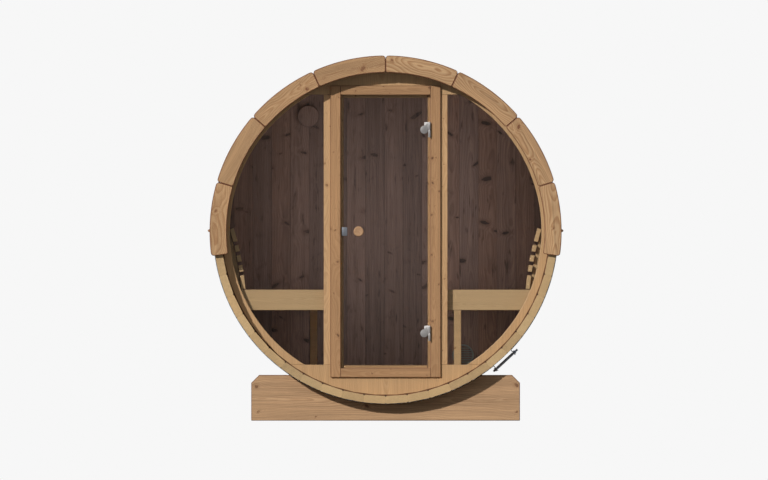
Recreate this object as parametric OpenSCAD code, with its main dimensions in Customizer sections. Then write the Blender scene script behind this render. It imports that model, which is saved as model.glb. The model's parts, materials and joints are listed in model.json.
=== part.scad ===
// Barrel sauna: a round cabin of timber staves on two cradles, with a glazed front wall and a glass door.
// The origin is on the ground under the middle of the barrel, the front faces -Y and +Z is up.
// Heights inside the barrel are measured from its axis, and at_axis() lifts them to their real place.

/* [Barrel] */
// Distance from the barrel's axis to the flat outer face of a stave
barrel_r = 1000; // [990:5:1300]
// Thickness of the staves
stave_t = 45; // [30:1:60]
// Length of the staves
barrel_len = 2200; // [1800:10:4000]
// Depth of the V groove at each stave joint
groove = 5; // [2:1:8]
// Height of the lowest stave edge over the ground
ground_gap = 98; // [60:1:160]

/* [End trim] */
// Inner radius of the trim boards on the stave ends
trim_in_r = 925; // [900:1:940]
// How far the trim reaches past the stave faces
trim_over = 24; // [18:1:40]
// Thickness of the trim boards
trim_t = 28; // [18:1:45]
// Angle from the top that the trim reaches on each side
trim_reach = 98.1; // [92:0.1:120]
// Number of trim boards on each side
trim_count = 4; // [3:1:6]
// Gap between neighbouring trim boards
trim_joint = 1.5; // [1:0.5:4]

/* [Roof and bands] */
// Thickness of the steel bands
band_t = 2.4; // [1.5:0.1:4]
// Width of the steel bands
band_w = 40; // [30:1:60]
// Distance of each band from the end of the staves
band_inset = 330; // [260:5:600]
// Thickness of a roofing course at its upper and at its lower edge
course_t = [4, 9];
// How far the drip batten sticks out from the stave faces
batten_out = 34; // [25:1:50]
// Height of the drip batten
batten_h = 26; // [15:1:40]
// How far the drip batten hangs below the roofing
batten_drop = 8; // [4:1:14]

/* [Band tensioner] */
// Angle of the tensioner from the top of the barrel
tensioner_a = 137.3; // [110:0.1:150]
// Distance from the stave face to the middle of the tensioner rod
rod_out = 24; // [18:1:40]
// Diameter of the tensioner rod
rod_d = 11.5; // [8:0.5:16]
// Length of the tensioner rod
rod_len = 190; // [160:1:260]
// Distance between the two lugs
lug_span = 141; // [100:1:150]
// How far the rod is pushed through towards its lower lug
rod_shift = 4; // [0:1:10]

/* [Front wall] */
// Distance from the stave ends to the front wall, and to the rear wall
wall_inset = 83; // [60:1:200]
// Thickness of the front and rear walls
wall_t = 40; // [32:1:60]
// Width of the timber rim around the front glass
rim_w = 48; // [35:1:60]
// Height of the sill panel's top edge, from the axis
sill_top = -775; // [-790:1:-700]
// Height of the head panel's bottom edge, from the axis
head_bottom = 797; // [700:1:800]
// Width of the post on each side of the door frame
post_w = 40; // [30:1:60]
// Thickness of the fixed glass and of the door glass
glass_t = 8; // [6:1:10]
// How deep the fixed glass sits in its rebate
rebate = 10; // [6:1:14]
// Depth of the timber in front of the fixed glass
front_lip = 16; // [12:1:20]

/* [Door frame] */
// Width of the door opening between the jambs
door_w = 524; // [460:1:540]
// Height of the door opening
door_h = 1590; // [1450:1:1600]
// Width of a jamb seen from the front, and of the frame's head and sill
jamb_w = 58; // [45:1:58]
// Height of the frame's head and sill
rail_h = 53; // [40:1:54]
// How far the door frame stands proud of the front wall
frame_proud = 15; // [8:1:25]
// Width of the stop behind the door glass
stop_w = 18; // [12:1:25]

/* [Door] */
// Gaps from the door glass to the frame: latch side, hinge side, bottom, top
door_gaps = [7, 14, 11, 6];
// Gap from the back of the door glass to the stop
stop_gap = 5; // [5:0.5:8]
// Height of each hinge above and below the axis
hinge_z = 592; // [450:1:650]
// Height of a whole hinge
hinge_h = 88; // [60:1:110]
// Distance from the door frame's front face forward to the hinge pin
pin_out = 12; // [12:1:20]
// Radius of the hinge's round clamp on the glass
clamp_r = 23; // [18:1:26]
// Radius of the round door knob
knob_r = 30; // [22:1:36]
// How far a knob stands out from the glass
knob_out = 36; // [30:1:45]
// Distance from the latch side edge of the glass to the middle of the knob
knob_inset = 98; // [60:1:140]

/* [Rear wall] */
// Radius of the two air vents
vent_r = 63; // [45:1:80]
// Places of the upper and of the lower vent, across and up from the axis
vent_at = [[-449, 670], [450, -719]];

/* [Benches] */
// Height of the bench seat below the axis
seat_drop = 338; // [300:1:400]
// Distance from the middle of the cabin to the edge of a bench
aisle = 350; // [310:1:380]
// Height of the board at the front end of a bench
end_board_h = 120; // [95:1:160]
// Distance from the front wall to the end board
end_board_gap = 6; // [4:1:60]
// Thickness of the seat slats
seat_t = 28; // [20:1:34]
// Number of seat slats
seat_slats = 7; // [5:1:9]
// Gap between seat slats
seat_gap = 10; // [6:1:14]
// Height of the bench joists
joist_h = 88; // [60:1:100]
// Width of the bench joists and legs
joist_w = 43; // [30:1:60]
// Distance from the bench edge to the legs
leg_inset = 47; // [10:1:90]

/* [Backrests] */
// Radius of the curve that the backrest follows
back_curve_r = 1743; // [1500:1:2200]
// Lean of the backrest at its lower edge, from upright
back_lean = 5; // [3:0.5:8]
// Distance from the cabin's middle to the backrest's lower edge
back_x = 814; // [790:1:820]
// Thickness of the backrest slats
back_t = 26; // [18:1:30]
// Gap between backrest slats
back_gap = 20; // [12:1:24]
// Gap between the seat and the backrest's lower edge
back_lift = 4; // [3:1:12]

/* [Floor] */
// Height of the floor's top below the axis
floor_drop = 820; // [800:1:840]
// Thickness of the floor slats
floor_t = 22; // [18:1:30]
// Width of a floor slat
floor_slat_w = 90; // [70:1:94]
// Gap between floor slats
floor_gap = 12; // [8:1:14]
// Number of floor slats
floor_slats = 7; // [5:2:7]

/* [Cradles] */
// Width of a cradle
cradle_w = 1563; // [1350:1:1700]
// Height of a cradle
cradle_h = 266; // [220:1:300]
// Thickness of a cradle
cradle_t = 50; // [40:1:90]
// Distance from the stave ends to a cradle's outer face
cradle_inset = 103; // [60:1:200]
// Size of the chamfer on a cradle's upper corners
cradle_cut = 46; // [20:1:70]

/* [Hidden] */

$fn = 96;
// Clearance where one piece rests on another
fit = 0.3;
// Clearance between neighbouring staves
stave_fit = 0.4;
// Slack added to a cutting tool so that it passes the face it cuts
over = 1;

stave_count = 48;
stave_a = 360 / stave_count;
group_size = 6;
group_a = group_size * stave_a;
inner_r = barrel_r - stave_t;
stave_corner_r = barrel_r / cos(stave_a / 2);
axis_z = stave_corner_r + ground_gap;
half_len = barrel_len / 2;

trim_out_r = barrel_r + trim_over;
trim_a = trim_reach / trim_count;
band_in_r = stave_corner_r + fit;
band_out_r = band_in_r + band_t;
band_y = half_len - band_inset;
roof_in_r = band_out_r + fit;

rod_r = barrel_r + rod_out;
lug_t = 5;
lug_half_a = atan((lug_span / 2 - lug_t / 2) / rod_r);
lug_top = rod_out + 15;
nut_d = 21;
nut_t = 10;
rod_clearance = 0.5;

wall_y = -half_len + wall_inset;
wall_back_y = wall_y + wall_t;
rear_y = half_len - wall_inset;
rear_inner_y = rear_y - wall_t;
wall_out_r = inner_r - fit;
glass_r = wall_out_r - rim_w;
pane_y = wall_y + front_lip + fit;
pane_back_y = pane_y + glass_t;

frame_x = door_w / 2 + jamb_w;
frame_z = door_h / 2 + rail_h;
post_x = frame_x + fit + post_w;
frame_y = wall_y - frame_proud;
door_y = wall_y + 2;
door_back_y = door_y + glass_t;
stop_y = door_back_y + stop_gap;

door_left = -door_w / 2 + door_gaps[0];
door_right = door_w / 2 - door_gaps[1];
door_bottom = -door_h / 2 + door_gaps[2];
door_top = door_h / 2 - door_gaps[3];
knuckle_r = 6.5;
pin_r = 3;
pin_fit = 0.05;
pin_x = door_w / 2 - knuckle_r - 1;
pin_y = frame_y - pin_out;
leaf_t = 3.5;
knuckle_gap = 1;
clamp_x = door_right - clamp_r;
clamp_t = 7;
clamp_back_r = 13;
clamp_back_t = 5;
bolt_r = 6;
knob_x = door_left + knob_inset;
knob_head_t = 22;
knob_neck_r = 14;
spindle_r = 5;
catch_size = [32, 3, 50];

rear_split_x = [-226, 211];
grille_ring = 9;
grille_t = 12;
grille_slats = 7;
slat_h = 4;
vent_collar = 12;
vent_cover_t = 18;

seat_z = -seat_drop;
seat_under_z = seat_z - seat_t;
end_board_y = wall_back_y + end_board_gap;
end_board_t = 28;
seat_y = end_board_y + end_board_t + fit;
seat_len = rear_inner_y - fit - seat_y;
seat_edge_x = sqrt(pow(inner_r, 2) - pow(seat_under_z, 2)) - 2;
seat_slat_w = (seat_edge_x - aisle - (seat_slats - 1) * seat_gap) / seat_slats;
joist_z = seat_under_z - fit - joist_h;
joist_ys = [for (k = [0:3]) seat_y + (seat_len - joist_w) * k / 3];
leg_x = aisle + leg_inset;

// Widths of the backrest slats from the bottom up
back_slats = [82, 40, 40, 40, 80];
support_t = 32;
support_count = 4;
// The slats are straight across and the supports follow the curve, so they stand this far behind
support_fit = 0.8;

floor_z = -floor_drop;
bearer_count = 4;
bearer_t = 45;
floor_w = floor_slats * floor_slat_w + (floor_slats - 1) * floor_gap;
cradle_seat_r = stave_corner_r + fit;

// A number of running lengths of some widths, each followed by a gap: where piece k starts
function start_of(widths, gap, k) = k == 0 ? 0 : start_of(widths, gap, k - 1) + widths[k - 1] + gap;

// A point of the backrest's curve, s along it from its lower edge and d behind it
function back_point(s, d) =
    let (a = back_lean + s / back_curve_r * 180 / PI)
    [back_x + back_curve_r * (cos(back_lean) - cos(a)) + d * cos(a),
     seat_z + back_lift + back_curve_r * (sin(a) - sin(back_lean)) - d * sin(a)];

// A corner of the roofing, h outside its inner face and a degrees from the top
function roof_point(h, a) = (roof_in_r + h) / cos(stave_a / 2) * [sin(a), cos(a)];

module at_axis() { translate([0, 0, axis_z]) children(); }
module both_sides() { for (s = [0, 1]) mirror([s, 0, 0]) children(); }
module both_ends() { for (s = [0, 1]) mirror([0, s, 0]) children(); }
// Stands a flat outline up across the barrel, from y back by depth
module upright(y, depth) { translate([0, y + depth, 0]) rotate([90, 0, 0]) linear_extrude(depth) children(); }
// A block from its lowest corner to its highest corner
module block(low, high) { translate(low) cube(high - low); }
// A round bar along Y
module bar_y(x, y, z, r, len) { translate([x, y + len, z]) rotate([90, 0, 0]) cylinder(r = r, h = len); }
// The flat outline of everything inside a radius
module disc(r) { circle(r = r, $fn = 180); }
// A flat rectangle from its lowest to its highest corner
module rect(low, high) { translate(low) square(high - low); }
// A flat sector between two angles from the top, clockwise as seen from the front
module sector(a0, a1) {
    mid = (a0 + a1) / 2;
    reach = 2 * barrel_r;
    polygon([[0, 0], reach * [sin(a0), cos(a0)], reach * 1.1 * [sin(mid), cos(mid)], reach * [sin(a1), cos(a1)]]);
}

// One stave's cross section, with a V groove half at each outer and inner corner
module stave_section() {
    function half(r) = r * tan(stave_a / 2) - stave_fit / 2;
    right = [[half(barrel_r) - groove, barrel_r], [half(barrel_r - groove), barrel_r - groove],
        [half(inner_r + groove), inner_r + groove], [half(inner_r) - groove, inner_r]];
    left = [for (k = [3:-1:0]) [-right[k][0], right[k][1]]];
    polygon(concat(right, left));
}
module stave_group(place) {
    color("burlywood") at_axis() upright(-half_len, barrel_len)
        for (k = [0:group_size - 1])
            rotate(-(place * group_a - group_a / 2 + (k + 0.5) * stave_a)) stave_section();
}

module trim_board(k) {
    gap_a = asin(trim_joint / 2 / trim_out_r);
    intersection() {
        difference() { disc(trim_out_r); disc(trim_in_r); }
        sector(k * trim_a + gap_a, (k + 1) * trim_a - gap_a);
    }
}
module trim_side(side) {
    color("tan") at_axis() mirror([side, 0, 0]) upright(-half_len - trim_t - fit, trim_t)
        for (k = [0:trim_count - 1]) trim_board(k);
}
module rear_trim() { for (s = [0, 1]) mirror([0, 1, 0]) trim_side(s); }

// Twelve courses from the lowest edge to the ridge, each lapping over the one below
module roof_shingles(side) {
    courses = stave_count / 4;
    outer = [for (k = [courses - 1:-1:0]) each [roof_point(course_t[1], (k + 1) * stave_a),
        roof_point(course_t[0], k * stave_a)]];
    inner = [for (k = [0:courses]) roof_point(0, k * stave_a)];
    color("dimgray") at_axis() mirror([side, 0, 0]) upright(-half_len, barrel_len) polygon(concat(inner, outer));
}
// A batten on the outer face of the lowest course, tapered towards its tip
module drip_battens() {
    upper = roof_point(course_t[0], 90 - stave_a);
    lower = roof_point(course_t[1], 90);
    function seat(z) = [lower[0] + fit + (upper[0] - lower[0]) * z / upper[1], z];
    tip = barrel_r + batten_out;
    top = batten_h - batten_drop;
    color("saddlebrown") at_axis() both_sides() upright(-half_len, barrel_len)
        polygon([seat(top), [tip, top - batten_h / 3], [tip, batten_h / 3 - batten_drop], seat(-batten_drop)]);
}

module strap() {
    at_axis() upright(-band_y - band_w / 2, band_w) difference() {
        disc(band_out_r);
        disc(band_in_r);
        sector(tensioner_a - lug_half_a, tensioner_a + lug_half_a);
    }
}
// The tensioner's own place: X along the rod, Z out from the barrel
module at_tensioner() {
    at_axis() translate([0, -band_y, 0]) rotate([0, tensioner_a, 0]) children();
}
module lugs() {
    foot = sqrt(pow(band_in_r, 2) - pow(lug_span / 2 - lug_t, 2)) + fit;
    at_tensioner() both_sides() difference() {
        block([lug_span / 2 - lug_t, -band_w / 2, foot], [lug_span / 2, band_w / 2, barrel_r + lug_top]);
        translate([0, 0, rod_r]) rotate([0, 90, 0]) cylinder(d = rod_d + 2 * rod_clearance, h = lug_span);
    }
}
module band() {
    color("dimgray") union() {
        strap();
        lugs();
    }
}
module tensioner() {
    at_tensioner() {
        translate([-rod_len / 2 - rod_shift, 0, rod_r]) rotate([0, 90, 0]) cylinder(d = rod_d, h = rod_len);
        for (x = [-lug_span / 2 - nut_t - fit, lug_span / 2 + fit])
            translate([x, 0, rod_r]) rotate([0, 90, 0]) cylinder(d = nut_d, h = nut_t, $fn = 6);
    }
}
module band_tensioners() { color("darkslategray") both_ends() tensioner(); }

// The outline of the right-hand fixed pane, grown by g on every side
module pane(g) {
    intersection() {
        disc(glass_r + g);
        rect([post_x - g, sill_top - g], [barrel_r, head_bottom + g]);
    }
}
// The rebates that take both fixed panes, open to the inside
module pane_rebates() { both_sides() upright(wall_y + front_lip, wall_t) pane(rebate); }
module frame_notch() { rect([-frame_x - fit, -frame_z - fit], [frame_x + fit, frame_z + fit]); }
module front_panel(low, high) {
    color("burlywood") at_axis() difference() {
        upright(wall_y, wall_t) difference() {
            intersection() { disc(wall_out_r); rect([-barrel_r, low], [barrel_r, high]); }
            frame_notch();
        }
        pane_rebates();
    }
}
module front_rim(side) {
    color("burlywood") at_axis() mirror([side, 0, 0]) difference() {
        upright(wall_y, wall_t) difference() {
            intersection() {
                disc(wall_out_r);
                rect([post_x, sill_top + fit], [barrel_r, head_bottom - fit]);
            }
            disc(glass_r);
        }
        pane_rebates();
    }
}
module front_posts() {
    color("burlywood") at_axis() both_sides() difference() {
        block([frame_x + fit, wall_y, sill_top + fit], [post_x, wall_y + wall_t, head_bottom - fit]);
        pane_rebates();
    }
}
module side_glass() { color("lightcyan", 0.35) at_axis() both_sides() upright(pane_y, glass_t) pane(rebate - fit); }
module glazing_beads() {
    color("tan") at_axis() both_sides() upright(pane_back_y + fit, wall_back_y - pane_back_y - fit)
        difference() { pane(rebate - fit); pane(0); }
}

module door_jambs() {
    stop_x = door_w / 2 - stop_w;
    color("tan") at_axis() both_sides() {
        block([door_w / 2, frame_y, -frame_z], [frame_x, wall_back_y, frame_z]);
        block([stop_x, stop_y, -frame_z], [door_w / 2 + over, wall_back_y, frame_z]);
    }
}
module door_frame_rail(up) {
    edge = door_h / 2;
    front_x = door_w / 2 - fit;
    back_x = front_x - stop_w;
    color("tan") at_axis() mirror([0, 0, up]) {
        block([-front_x, frame_y, -frame_z], [front_x, stop_y - fit, -edge]);
        block([-back_x, stop_y - over, -frame_z], [back_x, wall_back_y, -edge]);
        block([-back_x, stop_y, -edge - over], [back_x, wall_back_y, -edge + stop_w]);
    }
}
// The frame's half of each hinge: a leaf on the jamb, the lower knuckle and the pin
module hinge_leaves() {
    half = hinge_h / 2;
    color("silver") at_axis() for (z = [-hinge_z, hinge_z]) translate([0, 0, z]) {
        block([door_w / 2 - fit - leaf_t, pin_y, -half], [door_w / 2 - fit, stop_y - over, -knuckle_gap]);
        translate([pin_x, pin_y, -half]) cylinder(r = knuckle_r, h = half - knuckle_gap);
        translate([pin_x, pin_y, -half + over]) cylinder(r = pin_r, h = hinge_h - 4 * over);
    }
}

module rear_wall(low_x, high_x) {
    color([0.3, 0.24, 0.21]) at_axis() upright(rear_inner_y, wall_t) intersection() {
        disc(wall_out_r);
        rect([low_x + fit / 2, -barrel_r], [high_x - fit / 2, barrel_r]);
    }
}
module vent_cover() {
    front = -rear_inner_y + fit;
    color([0.3, 0.24, 0.21]) at_axis() mirror([0, 1, 0]) translate([vent_at[0][0], 0, vent_at[0][1]]) {
        bar_y(0, front, 0, vent_r - 20, vent_collar + over);
        bar_y(0, front + vent_collar, 0, vent_r, vent_cover_t);
    }
}
// A ring with level slats, its back at y
module grille(y) {
    pitch = 2 * (vent_r - grille_ring) / (grille_slats + 1);
    upright(y, grille_t) union() {
        difference() { disc(vent_r); disc(vent_r - grille_ring); }
        intersection() {
            disc(vent_r - grille_ring / 2);
            for (k = [1:grille_slats])
                translate([-vent_r, -vent_r + grille_ring + k * pitch - slat_h / 2]) square([2 * vent_r, slat_h]);
        }
    }
}
module vent_grilles() {
    color("silver") at_axis() {
        translate([vent_at[1][0], 0, vent_at[1][1]]) grille(rear_inner_y - fit - grille_t);
        for (place = vent_at) translate([place[0], 0, place[1]]) grille(rear_y + fit);
    }
}

module bench_seat(side) {
    color("wheat") at_axis() mirror([side, 0, 0]) for (k = [0:seat_slats - 1]) {
        x = aisle + k * (seat_slat_w + seat_gap);
        block([x, seat_y, seat_under_z], [x + seat_slat_w, seat_y + seat_len, seat_z]);
    }
}
// Keeps what is inside the staves
module inside_barrel() {
    intersection() {
        upright(-half_len, barrel_len) disc(wall_out_r);
        children();
    }
}
module bench_frame(side) {
    color("tan") at_axis() mirror([side, 0, 0]) inside_barrel() union() {
        for (y = joist_ys) block([aisle, y, joist_z], [barrel_r, y + joist_w, seat_under_z - fit]);
        for (y = [joist_ys[1], joist_ys[2]])
            block([leg_x, y, -barrel_r], [leg_x + joist_w, y + joist_w, joist_z - fit]);
    }
}
module bench_end_boards() {
    color("burlywood") at_axis() both_sides() inside_barrel()
        block([aisle, end_board_y, seat_z - end_board_h], [barrel_r, end_board_y + end_board_t, seat_z]);
}
module backrest(side) {
    color("burlywood") at_axis() mirror([side, 0, 0]) upright(end_board_y, rear_inner_y - fit - end_board_y)
        for (k = [0:len(back_slats) - 1]) {
            s = start_of(back_slats, back_gap, k);
            e = s + back_slats[k];
            polygon([back_point(s, 0), back_point(e, 0), back_point(e, back_t), back_point(s, back_t)]);
        }
}
module backrest_supports() {
    back_len = start_of(back_slats, back_gap, len(back_slats)) - back_gap;
    last = rear_inner_y - support_t - fit;
    color("tan") at_axis() both_sides()
        for (k = [0:support_count - 1])
            upright(seat_y + (last - seat_y) * k / (support_count - 1), support_t) intersection() {
                disc(wall_out_r);
                polygon([for (s = [0, 0.33, 0.66, 1]) back_point(s * back_len, back_t + support_fit),
                    [barrel_r, back_point(back_len, 0)[1]], [barrel_r, seat_z + fit]]);
            }
}

module floor_slats() {
    color("wheat") at_axis() for (k = [0:floor_slats - 1]) {
        x = -floor_w / 2 + k * (floor_slat_w + floor_gap);
        block([x, wall_back_y + fit, floor_z - floor_t], [x + floor_slat_w, rear_inner_y - fit, floor_z]);
    }
}
module floor_bearers() {
    first = wall_back_y + fit;
    last = rear_inner_y - fit - bearer_t;
    color("tan") at_axis() inside_barrel() union()
        for (k = [0:bearer_count - 1]) {
            y = first + (last - first) * k / (bearer_count - 1);
            block([-floor_w / 2, y, -barrel_r], [floor_w / 2, y + bearer_t, floor_z - floor_t - fit]);
        }
}

module cradle() {
    half = cradle_w / 2;
    color("tan") upright(-half_len + cradle_inset, cradle_t) difference() {
        polygon([[-half, 0], [half, 0], [half, cradle_h - cradle_cut], [half - cradle_cut, cradle_h],
            [-half + cradle_cut, cradle_h], [-half, cradle_h - cradle_cut]]);
        translate([0, axis_z]) disc(cradle_seat_r);
    }
}

module door_glass() {
    color("lightcyan", 0.35) at_axis() difference() {
        block([door_left, door_y, door_bottom], [door_right, door_back_y, door_top]);
        for (z = [-hinge_z, hinge_z]) bar_y(clamp_x, door_y - over, z, bolt_r + fit, glass_t + 2 * over);
        bar_y(knob_x, door_y - over, 0, spindle_r + fit, glass_t + 2 * over);
    }
}
// A knob that stands forward of the glass, its back at the origin
module knob() {
    neck = knob_out - knob_head_t;
    rotate([90, 0, 0]) rotate_extrude() polygon([[0, 0], [knob_neck_r, 0], [knob_neck_r - 3, neck],
        [knob_r - 4, neck], [knob_r, neck + 4], [knob_r, knob_out - 4], [knob_r - 4, knob_out],
        [knob_r / 2, knob_out - 2], [0, knob_out - 3]]);
}
module door_knobs() {
    color("burlywood") at_axis() translate([knob_x, 0, 0]) union() {
        translate([0, door_y - fit, 0]) knob();
        translate([0, door_back_y + fit, 0]) mirror([0, 1, 0]) knob();
        bar_y(0, door_y - over, 0, spindle_r, glass_t + 2 * over);
    }
}
// The door's half of each hinge: clamp discs, the bolt between them, the arm and the upper knuckle
module door_hinge_clamps() {
    half = hinge_h / 2;
    arm_x = pin_x - 9;
    front = door_y - fit;
    color("silver") at_axis() for (z = [-hinge_z, hinge_z]) translate([0, 0, z]) difference() {
        union() {
            bar_y(clamp_x, front - clamp_t, 0, clamp_r, clamp_t);
            bar_y(clamp_x, front - over, 0, bolt_r, glass_t + 2 * fit + 2 * over);
            bar_y(clamp_x, door_back_y + fit, 0, clamp_back_r, clamp_back_t);
            block([clamp_x, front - 4, knuckle_gap], [door_right, front, half]);
            block([arm_x, pin_y - 3, knuckle_gap], [arm_x + 4, front, half]);
            block([arm_x, pin_y - 3, knuckle_gap], [pin_x, pin_y + 3, half]);
            translate([pin_x, pin_y, knuckle_gap]) cylinder(r = knuckle_r, h = half - knuckle_gap);
        }
        translate([pin_x, pin_y, -over]) cylinder(r = pin_r + pin_fit, h = half - over);
    }
}
module door_catch_plate() {
    front = door_y - fit - catch_size[1];
    color("slategray") at_axis() translate([door_left, front, -catch_size[2] / 2]) cube(catch_size);
}

stave_group(0);  // staves_top
stave_group(1);  // staves_upper_right
stave_group(2);  // staves_right
stave_group(3);  // staves_lower_right
stave_group(4);  // staves_bottom
stave_group(5);  // staves_lower_left
stave_group(6);  // staves_left
stave_group(7);  // staves_upper_left
trim_side(1);  // front_trim_left
trim_side(0);  // front_trim_right
rear_trim();
roof_shingles(1);  // roof_shingles_left
roof_shingles(0);  // roof_shingles_right
drip_battens();
band();  // band_front
mirror([0, 1, 0]) band();  // band_rear
band_tensioners();
front_panel(-barrel_r, sill_top);  // front_sill_panel
front_panel(head_bottom, barrel_r);  // front_head_panel
front_rim(1);  // front_rim_left
front_rim(0);  // front_rim_right
front_posts();
side_glass();
glazing_beads();
door_jambs();
door_frame_rail(1);  // door_frame_head
door_frame_rail(0);  // door_frame_sill
hinge_leaves();
rear_wall(-barrel_r, rear_split_x[0]);  // rear_wall_left
rear_wall(rear_split_x[0], rear_split_x[1]);  // rear_wall_middle
rear_wall(rear_split_x[1], barrel_r);  // rear_wall_right
vent_cover();
vent_grilles();
bench_seat(1);  // bench_seat_left
bench_seat(0);  // bench_seat_right
bench_frame(1);  // bench_frame_left
bench_frame(0);  // bench_frame_right
bench_end_boards();
backrest(1);  // backrest_left
backrest(0);  // backrest_right
backrest_supports();
floor_slats();
floor_bearers();
cradle();  // cradle_front
mirror([0, 1, 0]) cradle();  // cradle_rear
door_glass();
door_knobs();
door_hinge_clamps();
door_catch_plate();
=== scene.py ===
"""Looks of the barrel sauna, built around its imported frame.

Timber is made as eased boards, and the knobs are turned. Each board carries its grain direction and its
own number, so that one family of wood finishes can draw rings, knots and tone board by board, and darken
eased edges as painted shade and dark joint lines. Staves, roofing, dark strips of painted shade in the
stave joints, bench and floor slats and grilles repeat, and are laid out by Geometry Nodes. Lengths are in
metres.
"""

from __future__ import annotations

import json
import logging
import math
from dataclasses import dataclass
from enum import Enum
from typing import Any, Callable, Iterable, Sequence

import bmesh
import bpy
from mathutils import Matrix, Vector

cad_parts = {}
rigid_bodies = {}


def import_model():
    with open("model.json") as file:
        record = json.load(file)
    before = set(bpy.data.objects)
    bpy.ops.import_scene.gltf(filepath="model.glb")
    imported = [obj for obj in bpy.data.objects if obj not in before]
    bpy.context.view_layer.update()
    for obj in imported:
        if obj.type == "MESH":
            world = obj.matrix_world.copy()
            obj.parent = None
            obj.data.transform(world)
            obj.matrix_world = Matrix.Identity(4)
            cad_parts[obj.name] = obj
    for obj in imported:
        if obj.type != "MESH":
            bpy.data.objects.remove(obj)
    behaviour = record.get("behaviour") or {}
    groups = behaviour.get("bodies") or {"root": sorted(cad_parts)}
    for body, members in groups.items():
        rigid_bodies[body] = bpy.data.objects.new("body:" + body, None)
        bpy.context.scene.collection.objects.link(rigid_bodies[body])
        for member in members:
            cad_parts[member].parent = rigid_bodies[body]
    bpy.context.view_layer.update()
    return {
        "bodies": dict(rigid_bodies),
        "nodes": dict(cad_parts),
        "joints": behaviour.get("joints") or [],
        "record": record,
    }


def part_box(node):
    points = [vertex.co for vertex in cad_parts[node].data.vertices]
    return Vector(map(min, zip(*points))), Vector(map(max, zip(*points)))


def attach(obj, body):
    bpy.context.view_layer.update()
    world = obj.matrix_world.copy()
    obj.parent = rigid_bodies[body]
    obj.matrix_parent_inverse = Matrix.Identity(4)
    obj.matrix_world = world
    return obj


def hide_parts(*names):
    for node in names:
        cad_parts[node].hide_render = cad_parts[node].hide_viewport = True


LOG = logging.getLogger("barrel_sauna")
MM = 0.001
WHITE = (1.0, 1.0, 1.0, 1.0)
QUARTER_TURN = math.radians(90)
# Metal stays sharp where its faces meet at more than this.
CREASE = math.radians(40)
# A board is eased where its faces meet at more than this.
BOARD_EDGE = math.radians(24)
# Faces that meet at less than this are one face.
FLAT = math.radians(0.6)
# How full the round of an eased edge is.
EASE_ROUND = 0.6
# Steps of detail in soft clouds and fine streaks.
CLOUD_DETAIL = 3.0
# Takes a section's across and up as they are, and its thickness back along the barrel.
LENGTHWISE = Matrix(((1, 0, 0, 0), (0, 0, 1, 0), (0, 1, 0, 0), (0, 0, 0, 1)))

Rgb = tuple[int, int, int]
Outline = list[tuple[float, float]]


class Grain(Enum):
    """Which way the wood fibres run in a board's own frame of outline across, outline up and thickness."""

    ACROSS = (0, 1, 2)
    UP = (1, 0, 2)
    THROUGH = (2, 0, 1)


class Way(Enum):
    """Which way the fibres run in a piece that is copied in place, as the order of its X, Y and Z."""

    X = (0, 2, 1)
    Y = (1, 0, 2)
    Z = (2, 0, 1)


class Side(Enum):
    """The two sides of the barrel as seen from the front."""

    LEFT = -1
    RIGHT = 1


def linear(colour: Rgb) -> tuple[float, float, float, float]:
    """Turns a screen colour into the linear one that shaders take.

    Args:
        colour: red, green and blue from 0 to 255.

    Returns:
        The linear colour with full alpha.
    """
    full, toe, slope, offset, power = 255, 0.04045, 12.92, 0.055, 2.4
    parts = [c / full for c in colour]
    return (*[p / slope if p <= toe else ((p + offset) / (1 + offset)) ** power for p in parts], 1.0)


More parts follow.
